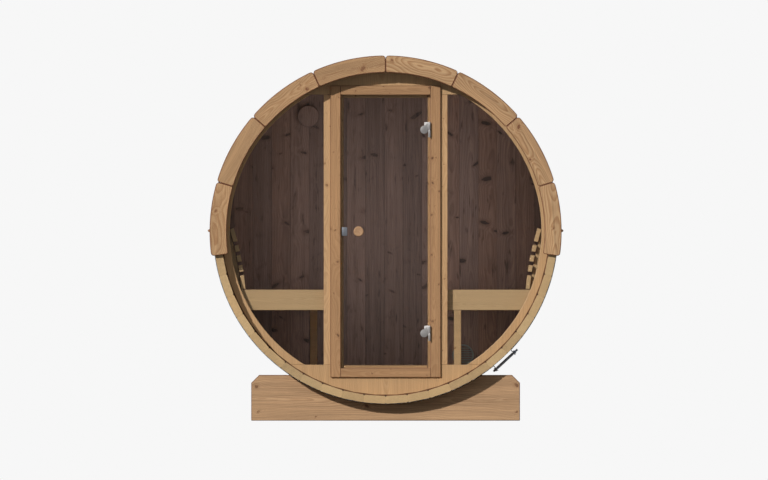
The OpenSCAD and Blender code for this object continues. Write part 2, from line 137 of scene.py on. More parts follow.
class Graph:
    """Writes a node tree step by step; each step adds a node and gives back its output."""

    def __init__(self, tree: bpy.types.NodeTree) -> None:
        """Args:
        tree: the node tree to write in.
        """
        self.tree = tree

    def add(self, kind: str, inputs: dict[Any, Any] | None = None, **settings: Any) -> bpy.types.Node:
        """Adds a node.

        Args:
            kind: the node's type name.
            inputs: socket name or number to a value or to another node's output.
            settings: the node's own properties.

        Returns:
            The new node.
        """
        node = self.tree.nodes.new(kind)
        for key, value in settings.items():
            setattr(node, key, value)
        for key, value in (inputs or {}).items():
            self.feed(node.inputs[key], value)
        return node

    def feed(self, socket: bpy.types.NodeSocket, value: Any) -> None:
        """Links an output to a socket, or sets the socket's own value."""
        if isinstance(value, bpy.types.NodeSocket):
            self.tree.links.new(value, socket)
        else:
            socket.default_value = value

    def surface(self, shader: bpy.types.NodeSocket) -> None:
        """Puts a shader on the surface of the tree's material."""
        out = next(n for n in self.tree.nodes if n.type == "OUTPUT_MATERIAL")
        self.feed(out.inputs["Surface"], shader)

    def math(self, operation: str, a: Any, b: Any = 0.0, c: Any = 0.0,
             clamp: bool = False) -> bpy.types.NodeSocket:
        """Adds a Math node and gives back its value."""
        return self.add("ShaderNodeMath", {0: a, 1: b, 2: c}, operation=operation, use_clamp=clamp).outputs[0]

    def swing(self, value: Any, amount: float, base: Any) -> bpy.types.NodeSocket:
        """Adds to a base how far a value from 0 to 1 is from its middle, times an amount."""
        return self.math("MULTIPLY_ADD", self.math("SUBTRACT", value, 0.5), amount, base)

    def vector(self, operation: str, a: Any, b: Any = (0.0, 0.0, 0.0)) -> bpy.types.NodeSocket:
        """Adds a Vector Math node and gives back its vector, or its value for a length."""
        node = self.add("ShaderNodeVectorMath", {0: a, 1: b}, operation=operation)
        return node.outputs["Value" if operation == "LENGTH" else "Vector"]

    def split(self, vector: Any) -> tuple[bpy.types.NodeSocket, ...]:
        """Gives back the three parts of a vector."""
        return tuple(self.add("ShaderNodeSeparateXYZ", {0: vector}).outputs)

    def join(self, x: Any, y: Any, z: Any) -> bpy.types.NodeSocket:
        """Gives back a vector made of three values."""
        return self.add("ShaderNodeCombineXYZ", {0: x, 1: y, 2: z}).outputs[0]

    def mix(self, share: Any, a: Any, b: Any, blend: str = "MIX") -> bpy.types.NodeSocket:
        """Mixes two colours and gives back the result."""
        node = self.add("ShaderNodeMix", {0: share, 6: a, 7: b}, data_type="RGBA", blend_type=blend)
        return node.outputs[2]

    def grey(self, value: Any) -> bpy.types.NodeSocket:
        """Gives back a colour whose three parts are one value."""
        return self.join(value, value, value)

    def step(self, value: Any, low: Any, high: Any, to_low: float = 0.0,
             to_high: float = 1.0) -> bpy.types.NodeSocket:
        """Maps a value smoothly from one range to another, holding it at both ends."""
        inputs = {"Value": value, "From Min": low, "From Max": high, "To Min": to_low, "To Max": to_high}
        return self.add("ShaderNodeMapRange", inputs, interpolation_type="SMOOTHSTEP").outputs[0]

    def noise(self, vector: Any, scale: float, detail: float = 2.0, roughness: float = 0.5) -> bpy.types.Node:
        """Adds a Noise texture on a vector."""
        inputs = {"Vector": vector, "Scale": scale, "Detail": detail, "Roughness": roughness}
        return self.add("ShaderNodeTexNoise", inputs)

    def figure(self, place: Any, stretch: Sequence[float], detail: float = 2.0,
               roughness: float = 0.5) -> bpy.types.NodeSocket:
        """Draws noise that is closer along some axes than others and gives back its value."""
        return self.noise(self.vector("MULTIPLY", place, stretch), 1.0, detail, roughness).outputs["Fac"]

    def bump(self, height: Any, strength: float, depth: float) -> bpy.types.NodeSocket:
        """Adds a Bump node and gives back its normal."""
        inputs = {"Height": height, "Strength": strength, "Distance": depth}
        return self.add("ShaderNodeBump", inputs).outputs[0]


def new_material(name: str) -> tuple[bpy.types.Material, Graph, bpy.types.Node]:
    """Starts a material with a Principled shader.

    Args:
        name: the material's name.

    Returns:
        The material, its graph and its Principled node.
    """
    material = bpy.data.materials.new(name)
    material.use_nodes = True
    material.node_tree.nodes.clear()
    graph = Graph(material.node_tree)
    shader = graph.add("ShaderNodeBsdfPrincipled")
    out = graph.add("ShaderNodeOutputMaterial")
    graph.feed(out.inputs["Surface"], shader.outputs[0])
    return material, graph, shader


@dataclass(frozen=True)
class PlanedWood:
    """A sawn and planed timber: growth rings cut at a random depth in each board, knots, streaks and tone.

    The values in capitals are the same for every timber. FIBRE, STREAK, LINE, FLAME and WOBBLE say how
    close a figure is along a board, across it and through it, and SWAY how close the pith's wander is along
    and across. LOG_LENGTH is how far apart two boards may start along a log. GLOSS is what fibre and rings
    add to the roughness, and the specular level. RELIEF is the height of rings and of fibre. KNOT_ROW
    spreads boards over the knots, KNOT_LEAN is the most that one leans, KNOT_ROUGH how uneven its outline
    is, KNOT_SPREAD how rare large ones are, KNOT_LEAST the smallest and KNOT_BEND how far rings bend round
    it. HALO and CORE are in radii of the knot. RING_RISE and RING_FALL are the parts of a ring where it
    darkens and lightens.
    """

    name: str
    early: Rgb
    late: Rgb
    knot: Rgb
    slot: str = ""
    ring: float = 7 * MM
    ring_depth: float = 0.6
    pith_side: float = 30 * MM
    pith_depth: tuple[float, float] = (15 * MM, 60 * MM)
    wander: float = 0.08
    knot_share: float = 0.4
    knot_radius: float = 8 * MM
    knot_reach: float = 1.0
    knot_cells: tuple[float, float] = (3.4, 9.0)
    tone: float = 0.08
    streaks: float = 0.12
    flames: float = 0.0
    # How far eased edges are darkened towards the knot colour: painted shade in the rounded edges, and dark
    # joint lines.
    edge: float = 0.25
    roughness: float = 0.6

    FIBRE = (16.0, 420.0, 420.0)
    STREAK = (1.1, 30.0, 30.0)
    LINE = (2.6, 110.0, 110.0)
    FLAME = (9.0, 40.0, 40.0)
    WOBBLE = (90.0, 60.0, 60.0)
    SWAY = (2.6, 5.0)
    COARSE = 0.6
    LOG_LENGTH = 9.0
    GLOSS = (0.2, -0.08, 0.3)
    RELIEF = (0.5, 0.8)
    RELIEF_STRENGTH = 0.35
    RELIEF_DEPTH = 0.4 * MM
    KNOT_ROW = 13.7
    KNOT_LEAN = 0.7
    KNOT_ROUGH = (0.9, 0.55)
    KNOT_SPREAD = 1.6
    KNOT_LEAST = 0.35
    KNOT_BEND = 1.5
    HALO = 2.6
    HALO_SHARE = 0.45
    CORE = (1.1, 0.75)
    CORE_RING = 2.2 * MM
    CORE_DEPTH = 0.3
    RING_RISE = (0.15, 0.85)
    RING_FALL = (0.86, 1.0)
    LINE_SHARE = 2.4
    WARMTH = 0.8
    FLAME_EDGE = (0.6, 0.74)

    def material(self) -> bpy.types.Material:
        """Builds the material from the grain, board and edge attributes."""
        material, g, shader = new_material(self.name)
        grain = g.add("ShaderNodeAttribute", attribute_name="grain").outputs["Vector"]
        board = g.add("ShaderNodeAttribute", attribute_name="board").outputs["Fac"]
        edge = g.add("ShaderNodeAttribute", attribute_name="edge").outputs["Fac"]
        luck = g.split(g.add("ShaderNodeTexWhiteNoise", {"W": board}, noise_dimensions="1D").outputs["Color"])
        near, far = self.pith_depth
        shift = g.join(g.math("MULTIPLY", luck[0], self.LOG_LENGTH),
                       g.math("MULTIPLY_ADD", luck[1], 2 * self.pith_side, -self.pith_side),
                       g.math("MULTIPLY_ADD", luck[2], far - near, near))
        place = g.vector("ADD", grain, shift)

        knots = self._knots(g, place, board)
        rings = self._rings(g, place, knots)
        fibre = g.figure(place, self.FIBRE)
        streak = g.figure(place, self.STREAK)
        line = g.figure(place, self.LINE, CLOUD_DETAIL, self.COARSE)
        flame = g.figure(place, self.FLAME, 2.0, self.COARSE)
        colour = self._colour(g, luck, (rings, fibre, streak, line, flame), knots, edge)

        g.feed(shader.inputs["Base Color"], colour)
        of_fibre, of_rings, specular = self.GLOSS
        rough = g.swing(fibre, of_fibre, self.roughness)
        g.feed(shader.inputs["Roughness"], g.math("MULTIPLY_ADD", rings, of_rings, rough))
        shader.inputs["Specular IOR Level"].default_value = specular
        ring_height, fibre_height = self.RELIEF
        height = g.math("MULTIPLY_ADD", rings, ring_height, g.math("MULTIPLY", fibre, fibre_height))
        g.feed(shader.inputs["Normal"], g.bump(height, self.RELIEF_STRENGTH, self.RELIEF_DEPTH))
        return material

    def _knots(self, g: Graph, place: Any, board: Any) -> tuple[Any, Any, Any]:
        """Scatters knots over the faces of a board, each leaning its own way.

        Args:
            g: the graph to write in.
            place: the board's shifted coordinates.
            board: the board's number.

        Returns:
            Distance to the nearest knot, 1 where that knot is really there, and its radius.
        """
        along, across, deep = g.split(place)
        cell_along, cell_across = self.knot_cells
        beside = g.math("MULTIPLY", g.math("ADD", across, deep), cell_across)
        row = g.math("MULTIPLY_ADD", board, self.KNOT_ROW, beside)
        spot = g.join(g.math("MULTIPLY", along, cell_along), row, 0.0)
        cells = g.add("ShaderNodeTexVoronoi", {"Vector": spot, "Scale": 1.0}, voronoi_dimensions="2D")
        away = g.vector("SUBTRACT", spot, cells.outputs["Position"])
        off_along, off_across, _ = g.split(g.vector("MULTIPLY", away, (1 / cell_along, 1 / cell_across, 0.0)))
        chance = g.split(cells.outputs["Color"])
        lean = g.math("MULTIPLY_ADD", chance[2], 2 * self.KNOT_LEAN, -self.KNOT_LEAN)
        off_along = g.math("MULTIPLY_ADD", lean, off_across, off_along)
        wobble = g.figure(place, self.WOBBLE)
        off_across = g.math("DIVIDE", off_across, self.knot_reach)
        metric = g.vector("LENGTH", g.join(off_along, off_across, 0.0))
        metric = g.math("MULTIPLY", metric, g.math("MULTIPLY_ADD", wobble, *self.KNOT_ROUGH))
        present = g.math("LESS_THAN", chance[0], self.knot_share)
        size = g.math("POWER", chance[1], self.KNOT_SPREAD)
        radius = g.math("MULTIPLY", g.math("MULTIPLY_ADD", size, 1.0, self.KNOT_LEAST), self.knot_radius)
        return metric, present, radius

    def _rings(self, g: Graph, place: Any, knots: tuple[Any, Any, Any]) -> bpy.types.NodeSocket:
        """Draws growth rings round a pith that wanders along the board, and bends them round knots.

        Args:
            g: the graph to write in.
            place: the board's shifted coordinates.
            knots: what _knots gives.

        Returns:
            A value from 0 in early wood to 1 in late wood.
        """
        metric, present, radius = knots
        along, across, deep = g.split(place)
        by_along, by_across = self.SWAY
        bend = g.join(g.math("MULTIPLY", along, by_along), g.math("MULTIPLY", across, by_across), deep)
        slow = g.noise(bend, 1.0)
        sway = g.vector("MULTIPLY", g.vector("SUBTRACT", slow.outputs["Color"], (0.5, 0.5, 0.5)),
                        (self.wander, self.wander, 0.0))
        sway_x, sway_y, _ = g.split(sway)
        a, d = g.math("ADD", across, sway_x), g.math("ADD", deep, sway_y)
        pith = g.math("SQRT", g.math("ADD", g.math("MULTIPLY", a, a), g.math("MULTIPLY", d, d)))
        near = g.math("DIVIDE", metric, g.math("MULTIPLY", radius, self.HALO))
        push = g.math("EXPONENT", g.math("MULTIPLY", g.math("MULTIPLY", near, near), -1.0))
        push = g.math("MULTIPLY", push, present)
        push = g.math("MULTIPLY", push, g.math("MULTIPLY", radius, self.KNOT_BEND))
        turn = g.math("FRACT", g.math("DIVIDE", g.math("ADD", pith, push), self.ring))
        rise = g.step(turn, *self.RING_RISE)
        fall = g.step(turn, *self.RING_FALL, 1.0, 0.0)
        return g.math("MULTIPLY", rise, fall)

    def _colour(self, g: Graph, luck: Sequence[Any], figure: Sequence[Any],
                knots: tuple[Any, Any, Any], edge: Any) -> bpy.types.NodeSocket:
        """Colours the figure, with each board a little lighter, darker or redder than the next, and its eased
        edges darker as painted shade and dark joint lines.

        Args:
            g: the graph to write in.
            luck: three random values of the board.
            figure: rings, fibre, broad streaks, fine streaks and dark flames.
            knots: what _knots gives.
            edge: 1 on an eased edge, which is darkened as painted shade.

        Returns:
            The colour.
        """
        rings, fibre, streak, line, flame = figure
        metric, present, radius = knots
        colour = g.mix(g.math("MULTIPLY", rings, self.ring_depth), linear(self.early), linear(self.late))
        lift = g.swing(streak, 2 * self.streaks, 1.0)
        lift = g.swing(line, self.LINE_SHARE * self.streaks, lift)
        lift = g.swing(fibre, self.streaks, lift)
        lift = g.swing(luck[2], 2 * self.tone, lift)
        warm = g.swing(luck[0], self.WARMTH * self.tone, 1.0)
        green = g.math("MULTIPLY", lift, g.math("POWER", warm, 0.5))
        shade = g.join(lift, green, g.math("MULTIPLY", lift, warm))
        colour = g.mix(1.0, colour, shade, "MULTIPLY")
        flame = g.math("MULTIPLY", g.step(flame, *self.FLAME_EDGE), self.flames)
        colour = g.mix(flame, colour, linear(self.knot))
        halo = g.step(metric, g.math("MULTIPLY", radius, self.HALO), radius)
        halo = g.math("MULTIPLY", halo, present)
        colour = g.mix(g.math("MULTIPLY", halo, self.HALO_SHARE), colour, linear(self.late))
        outer, inner = self.CORE
        core = g.step(metric, g.math("MULTIPLY", radius, outer), g.math("MULTIPLY", radius, inner))
        core_ring = g.math("FRACT", g.math("DIVIDE", metric, self.CORE_RING))
        core_ring = g.math("MULTIPLY_ADD", core_ring, self.CORE_DEPTH, 1 - self.CORE_DEPTH)
        core = g.math("MULTIPLY", g.math("MULTIPLY", core, present), core_ring)
        colour = g.mix(core, colour, linear(self.knot))
        # Eased edges darken towards the knot colour: painted shade in the rounded edges, and dark joint
        # lines.
        return g.mix(g.math("MULTIPLY", edge, self.edge), colour, linear(self.knot))


@dataclass(frozen=True)
class Roofing:
    """Mineral granules on a bitumen tab, each tab a little lighter or darker."""

    name: str
    dark: Rgb
    light: Rgb
    slot: str = ""
    grit_scale: float = 420.0
    grit_depth: float = 0.8 * MM
    grit_relief: float = 0.5
    cloud_scale: float = 9.0
    tab_share: float = 0.45
    cloud_share: tuple[float, float] = (0.4, -0.1)
    speck: tuple[float, float] = (0.7, 0.62)
    roughness: tuple[float, float] = (0.15, 0.82)

    def material(self) -> bpy.types.Material:
        """Builds the material on Object coordinates and the tab number."""
        material, g, shader = new_material(self.name)
        spot = g.add("ShaderNodeTexCoord").outputs["Object"]
        tab = g.add("ShaderNodeAttribute", attribute_name="board").outputs["Fac"]
        tone = g.add("ShaderNodeTexWhiteNoise", {"W": tab}, noise_dimensions="1D").outputs["Value"]
        grit = g.add("ShaderNodeTexVoronoi", {"Vector": spot, "Scale": self.grit_scale})
        cloud = g.noise(spot, self.cloud_scale, CLOUD_DETAIL).outputs["Fac"]
        patch = g.math("MULTIPLY_ADD", cloud, *self.cloud_share)
        share = g.math("MULTIPLY_ADD", tone, self.tab_share, patch, clamp=True)
        colour = g.mix(share, linear(self.dark), linear(self.light))
        speck = g.math("MULTIPLY_ADD", g.split(grit.outputs["Color"])[0], *self.speck)
        g.feed(shader.inputs["Base Color"], g.mix(1.0, colour, g.grey(speck), "MULTIPLY"))
        g.feed(shader.inputs["Normal"], g.bump(grit.outputs["Distance"], self.grit_relief, self.grit_depth))
        g.feed(shader.inputs["Roughness"], g.math("MULTIPLY_ADD", cloud, *self.roughness))
        return material


@dataclass(frozen=True)
class SatinMetal:
    """Metal with a fine brushed haze, a little uneven in gloss."""

    name: str
    colour: Rgb
    roughness: float
    metallic: float = 1.0
    slot: str = ""
    brush: tuple[float, float, float] = (20.0, 20.0, 900.0)
    brush_gloss: float = 0.14
    brush_relief: float = 0.12
    brush_depth: float = 0.1 * MM
    cloud_scale: float = 30.0
    cloud_tone: float = 0.16
    cloud_gloss: float = 0.06

    def material(self) -> bpy.types.Material:
        """Builds the material on Object coordinates."""
        material, g, shader = new_material(self.name)
        spot = g.add("ShaderNodeTexCoord").outputs["Object"]
        brushed = g.figure(spot, self.brush)
        cloud = g.noise(spot, self.cloud_scale, CLOUD_DETAIL).outputs["Fac"]
        lift = g.math("MULTIPLY_ADD", cloud, self.cloud_tone, 1 - self.cloud_tone / 2)
        g.feed(shader.inputs["Base Color"], g.mix(1.0, linear(self.colour), g.grey(lift), "MULTIPLY"))
        rough = g.math("MULTIPLY_ADD", brushed, self.brush_gloss, self.roughness - self.brush_gloss / 2)
        g.feed(shader.inputs["Roughness"], g.math("MULTIPLY_ADD", cloud, self.cloud_gloss, rough))
        shader.inputs["Metallic"].default_value = self.metallic
        g.feed(shader.inputs["Normal"], g.bump(brushed, self.brush_relief, self.brush_depth))
        return material


@dataclass(frozen=True)
class ClearGlass:
    """A clear pane that lets the sun through."""

    name: str
    tint: Rgb
    film: Rgb
    slot: str = ""
    index: float = 1.45
    haze_scale: float = 3.0
    haze_edge: tuple[float, float] = (0.4, 0.75)

    def material(self) -> bpy.types.Material:
        """Builds a glass shader whose shadows are clear, with a faint uneven film."""
        material, g, shader = new_material(self.name)
        spot = g.add("ShaderNodeTexCoord").outputs["Object"]
        haze = g.step(g.noise(spot, self.haze_scale, CLOUD_DETAIL).outputs["Fac"], *self.haze_edge)
        g.feed(shader.inputs["Base Color"], g.mix(haze, linear(self.tint), linear(self.film)))
        shader.inputs["Roughness"].default_value = 0.0
        shader.inputs["Transmission Weight"].default_value = 1.0
        shader.inputs["IOR"].default_value = self.index
        path = g.add("ShaderNodeLightPath")
        clear = g.add("ShaderNodeBsdfTransparent", {"Color": linear(self.tint)})
        through = g.math("MAXIMUM", path.outputs["Is Shadow Ray"], path.outputs["Is Diffuse Ray"])
        mixed = g.add("ShaderNodeMixShader", {0: through, 1: shader.outputs[0], 2: clear.outputs[0]})
        g.surface(mixed.outputs[0])
        return material


# Each timber's edge share darkens its eased edges: painted shade in the rounded edges, with dark joint lines.
STAVE_WOOD = PlanedWood("stave_wood", (192, 163, 120), (160, 124, 82), (98, 62, 38), knot_share=0.35,
                        tone=0.14, streaks=0.16)
TRIM_WOOD = PlanedWood("trim_wood", (181, 145, 106), (144, 102, 66), (104, 58, 36), ring=8 * MM,
                       ring_depth=0.72, knot_share=0.75, knot_radius=11 * MM, wander=0.10, streaks=0.32,
                       flames=0.2, edge=0.85)
FRAME_WOOD = PlanedWood("frame_wood", (189, 152, 111), (160, 118, 78), (100, 60, 38), ring=6 * MM,
                        ring_depth=0.5, pith_depth=(40 * MM, 80 * MM), knot_share=0.8, knot_radius=7 * MM,
                        knot_cells=(5.0, 22.0), streaks=0.24)
WALL_WOOD = PlanedWood("wall_wood", (186, 151, 110), (164, 124, 84), (92, 56, 32), slot="frame_wood",
                       ring=10 * MM, ring_depth=0.45, pith_depth=(20 * MM, 60 * MM), knot_share=0.25,
                       knot_radius=5 * MM, streaks=0.18, edge=0.8)
JAMB_WOOD = PlanedWood("jamb_wood", (170, 131, 93), (142, 103, 68), (84, 48, 32), slot="frame_wood",
                       ring=6 * MM, ring_depth=0.5, pith_depth=(40 * MM, 80 * MM), knot_share=0.85,
                       knot_radius=6 * MM, knot_cells=(5.0, 22.0), streaks=0.26, edge=0.4)
BENCH_WOOD = PlanedWood("bench_wood", (190, 153, 115), (166, 126, 90), (120, 82, 56), ring_depth=0.4,
                        knot_share=0.12, knot_radius=6 * MM, tone=0.05, streaks=0.1, edge=0.35)
CRADLE_WOOD = PlanedWood("cradle_wood", (190, 152, 114), (148, 110, 76), (100, 62, 40), ring=9 * MM,
                         pith_depth=(30 * MM, 90 * MM), knot_radius=10 * MM, wander=0.06, streaks=0.34,
                         edge=0.8)
# Dark wood for the strip where the end walls meet the staves, and darker for the fillings of the V joints
# there: both are painted shade.
PAINTED_SHADE_LINE_WOOD = PlanedWood("painted_shade_line_wood", (104, 68, 42), (86, 55, 34), (44, 30, 20), slot="frame_wood",
                       knot_share=0.0)
PAINTED_NOTCH_SHADE_WOOD = PlanedWood("painted_notch_shade_wood", (60, 36, 24), (48, 29, 20), (24, 16, 12), slot="frame_wood",
                       knot_share=0.0)
DARK_WOOD = PlanedWood("heat_treated_wood", (124, 99, 89), (93, 71, 63), (46, 36, 33), ring=9 * MM,
                       ring_depth=0.5, knot_share=0.75, knot_radius=11 * MM, knot_reach=2.4,
                       knot_cells=(3.4, 9.2), tone=0.3, wander=0.06, streaks=0.4, flames=0.7, edge=0.35,
                       roughness=0.55)
KNOB_WOOD = PlanedWood("knob_wood", (176, 140, 106), (146, 108, 76), (120, 80, 52), ring=4 * MM,
                       knot_share=0.0)
ROOFING = Roofing("roofing", (34, 35, 37), (74, 75, 78))
BAND_STEEL = SatinMetal("band_steel", (148, 156, 168), 0.5, metallic=0.1)
HINGE_METAL = SatinMetal("hinge_metal", (172, 169, 168), 0.3, metallic=0.6)
CATCH_METAL = SatinMetal("catch_metal", (128, 131, 138), 0.4, metallic=0.6)
GRILLE_METAL = SatinMetal("vent_metal", (128, 132, 132), 0.45, metallic=0.5)
CLEAR_GLASS = ClearGlass("clear_glass", (248, 251, 249), (243, 247, 245))

Finish = PlanedWood | Roofing | SatinMetal | ClearGlass
_dressed: dict[str, bpy.types.Material] = {}


def dressed(finish: Finish) -> bpy.types.Material:
    """Gives back a finish's material, building it once."""
    if finish.name not in _dressed:
        _dressed[finish.name] = finish.material()
    return _dressed[finish.name]


def rounded(outline: Outline, radii: dict[int, float], steps: int = 4) -> Outline:
    """Rounds some corners of a closed outline.

    Args:
        outline: corner points in order.
        radii: a corner's number to the radius of its rounding.
        steps: straight pieces that each rounding is made of.

    Returns:
        The outline with those corners replaced by arcs.
    """
    points = [Vector(p) for p in outline]
    result: Outline = []
    for k, corner in enumerate(points):
        if k not in radii:
            result.append(tuple(corner))
            continue
        before = points[k - 1] - corner
        after = points[(k + 1) % len(points)] - corner
        cut = radii[k] / math.tan(before.angle(after) / 2)
        start = corner + before.normalized() * cut
        end = corner + after.normalized() * cut
        for t in (s / steps for s in range(steps + 1)):
            result.append(tuple((1 - t) ** 2 * start + 2 * t * (1 - t) * corner + t ** 2 * end))
    return result


def arc(radius: float, start: float, end: float, steps: int) -> Outline:
    """Points on an arc, with angles in degrees clockwise from the top."""
    angles = [math.radians(start + (end - start) * k / steps) for k in range(steps + 1)]
    return [(radius * math.sin(a), radius * math.cos(a)) for a in angles]


def link(mesh: bpy.types.Mesh, name: str) -> bpy.types.Object:
    """Puts a mesh in the scene under a name."""
    piece = bpy.data.objects.new(name, mesh)
    bpy.context.scene.collection.objects.link(piece)
    return piece


def settle(piece: bpy.types.Object, finish: Finish, body: str,
           nodes: Iterable[str] = ()) -> bpy.types.Object:
    """Dresses a piece, makes it ride on its body and hides the frame's nodes that it stands for.

    Args:
        piece: the finished object.
        finish: its finish, whose name the material takes.
        body: the body it moves with.
        nodes: the frame's nodes that it stands for.

    Returns:
        The piece.
    """
    piece.data.materials.clear()
    piece.data.materials.append(dressed(finish))
    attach(piece, body)
    nodes = list(nodes)
    if nodes:
        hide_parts(*nodes)
    LOG.info("%s: %d faces, %s", piece.name, len(piece.data.polygons), finish.name)
    return piece


class Lumber:
    """Collects eased boards into one mesh, with a grain direction and a number for each board."""

    def __init__(self, name: str, first_number: float) -> None:
        """Args:
        name: name of the piece.
        first_number: number of the first board, from which its figure is drawn.
        """
        self.name = name
        self.number = first_number
        self.points: list[Vector] = []
        self.faces: list[list[int]] = []
        self.grain: list[tuple[float, ...]] = []
        self.boards: list[float] = []
        self.edges: list[float] = []

    def take(self, bm: bmesh.types.BMesh, grain_of: Any) -> None:
        """Adds one closed board.

        Args:
            bm: the board in its place, which is freed.
            grain_of: gives a vertex's grain coordinates.
        """
        bmesh.ops.recalc_face_normals(bm, faces=bm.faces)
        bm.verts.index_update()
        base = len(self.points)
        for v in bm.verts:
            self.points.append(v.co.copy())
            self.grain.append(grain_of(v))
            self.boards.append(self.number)
        self.faces += [[base + v.index for v in f.verts] for f in bm.faces]
        self.edges += [float(f.material_index) for f in bm.faces]
        self.number += 1
        bm.free()

    def saw(self, outline: Outline, low: float, high: float, place: Matrix, grain: Grain,
            ease: float = 2 * MM, segments: int = 2) -> None:
        """Adds a board of even thickness.

        Args:
            outline: its outline, across and up.
            low: where its thickness starts.
            high: where its thickness ends.
            place: takes across, up and thickness to the barrel's frame.
            grain: which way its fibres run.
            ease: how far its edges are rounded over.
            segments: steps in the rounding.
        """
        bm = bmesh.new()
        count = len(outline)
        bottom = [bm.verts.new((u, v, low)) for u, v in outline]
        top = [bm.verts.new((u, v, high)) for u, v in outline]
        bm.faces.new(bottom[::-1])
        bm.faces.new(top)
        for k in range(count):
            after = (k + 1) % count
            bm.faces.new((bottom[k], bottom[after], top[after], top[k]))
        bmesh.ops.recalc_face_normals(bm, faces=bm.faces)
        self._ease(bm, ease, segments)
        layer = bm.verts.layers.float_vector.new("grain")
        middle = self.middle_of(bm)
        for v in bm.verts:
            v[layer] = [(v.co - middle)[k] for k in grain.value]
            v.co = place @ v.co
        self.take(bm, lambda v: tuple(v[layer]))

    def copy(self, node: str, way: Way, ease: float = 2 * MM, segments: int = 2,
             weld: float = 0.6 * MM, stained: Callable[[Vector], bool] | None = None) -> None:
        """Adds every solid of a frame node as a board with eased edges.

        Args:
            node: the frame's node.
            way: which way its fibres run.
            ease: how far its edges are rounded over.
            segments: steps in the rounding.
            weld: steps smaller than this are left out.
            stained: tells by place whether an eased edge is darkened as painted shade, and all are without
                it.
        """
        for bm in solids_of(node, weld):
            self._ease(bm, ease, segments)
            # Only edges that the place test picks keep their mark for painted shade.
            for face in bm.faces:
                if stained and not stained(face.calc_center_median()):
                    face.material_index = 0
            middle = self.middle_of(bm)
            self.take(bm, lambda v, m=middle: tuple((v.co - m)[k] for k in way.value))

    @staticmethod
    def middle_of(bm: bmesh.types.BMesh) -> Vector:
        """Gives back the middle of a board's box."""
        corners = [[f(v.co[k] for v in bm.verts) for k in range(3)] for f in (min, max)]
        return (Vector(corners[0]) + Vector(corners[1])) / 2

    @staticmethod
    def _ease(bm: bmesh.types.BMesh, ease: float, segments: int) -> None:
        """Rounds over the sharp edges of a board, and marks the rounded faces to be darkened as painted
        shade.
        """
        sharp = [e for e in bm.edges if e.is_manifold and e.calc_face_angle(0.0) > BOARD_EDGE]
        if ease > 0 and sharp:
            bmesh.ops.bevel(bm, geom=sharp, offset=ease, segments=segments, profile=EASE_ROUND,
                            affect="EDGES", clamp_overlap=True, material=1)

    def mesh(self) -> bpy.types.Mesh:
        """Makes the mesh with its grain, board and edge attributes."""
        mesh = bpy.data.meshes.new(self.name)
        mesh.from_pydata(self.points, [], self.faces)
        layers = (("grain", "FLOAT_VECTOR", "POINT", "vector", [c for grain in self.grain for c in grain]),
                  ("board", "FLOAT", "POINT", "value", self.boards),
                  ("edge", "FLOAT", "FACE", "value", self.edges))
        for name, kind, domain, member, values in layers:
            mesh.attributes.new(name, kind, domain).data.foreach_set(member, values)
        return mesh

    def piece(self) -> bpy.types.Object:
        """Makes the object."""
        return link(self.mesh(), self.name)


def solids_of(node: str, weld: float) -> list[bmesh.types.BMesh]:
    """Copies a frame node and parts it into its solids, with flat faces whole again.

    Args:
        node: the frame's node.
        weld: points closer than this become one.

    Returns:
        One mesh for each solid.
    """
    whole = bmesh.new()
    whole.from_mesh(bpy.data.objects[node].data)
    bmesh.ops.remove_doubles(whole, verts=whole.verts, dist=weld)
    bmesh.ops.dissolve_limit(whole, angle_limit=FLAT, verts=whole.verts, edges=whole.edges)
    whole.verts.ensure_lookup_table()
    seen: set[int] = set()
    parts: list[bmesh.types.BMesh] = []
    for start in whole.verts:
        if start.index in seen:
            continue
        group, queue = {start.index}, [start]
        while queue:
            for edge in queue.pop().link_edges:
                for v in edge.verts:
                    if v.index not in group:
                        group.add(v.index)
                        queue.append(v)
        seen |= group
        part = bmesh.new()
        new = {i: part.verts.new(whole.verts[i].co) for i in sorted(group)}
        for face in whole.faces:
            if face.verts[0].index in group:
                part.faces.new([new[v.index] for v in face.verts])
        part.normal_update()
        parts.append(part)
    whole.free()
    return parts


def copied(node: str, name: str, number: float, finish: PlanedWood, way: Way, **shape: Any) -> None:
    """Builds a timber piece of the barrel as a copy of its node, with eased edges.

    Args:
        node: the frame's node.
        name: name of the piece.
        number: number of its first board.
        finish: its finish.
        way: which way its fibres run.
        shape: the other values that Lumber.copy takes.
    """
    lumber = Lumber(name, number)
    lumber.copy(node, way, **shape)
    settle(lumber.piece(), finish, "barrel", [node])


Sockets = Sequence[tuple[str, str]]


def started_tree(name: str, sockets: Sockets) -> tuple[bpy.types.NodeTree, dict[str, str], Graph, Any]:
    """Starts a Geometry Nodes tree with named inputs.

    Args:
        name: the tree's name.
        sockets: name and kind of each input.

    Returns:
        The tree, its inputs' identifiers by name, its graph and the outputs of its input node.
    """
    tree = bpy.data.node_groups.new(name, "GeometryNodeTree")
    tree.interface.new_socket("Geometry", in_out="INPUT", socket_type="NodeSocketGeometry")
    ids = {label: tree.interface.new_socket(label, in_out="INPUT", socket_type=kind).identifier
           for label, kind in sockets}
    tree.interface.new_socket("Geometry", in_out="OUTPUT", socket_type="NodeSocketGeometry")
    graph = Graph(tree)
    return tree, ids, graph, graph.add("NodeGroupInput").outputs


def finish_tree(g: Graph, geometry: Any, finish: Any) -> None:
    """Ends a tree: copies become real and take the finish."""
    real = g.add("GeometryNodeRealizeInstances", {0: geometry})
    finished = g.add("GeometryNodeSetMaterial", {"Geometry": real.outputs[0], "Material": finish})
    g.feed(g.add("NodeGroupOutput").inputs[0], finished.outputs[0])


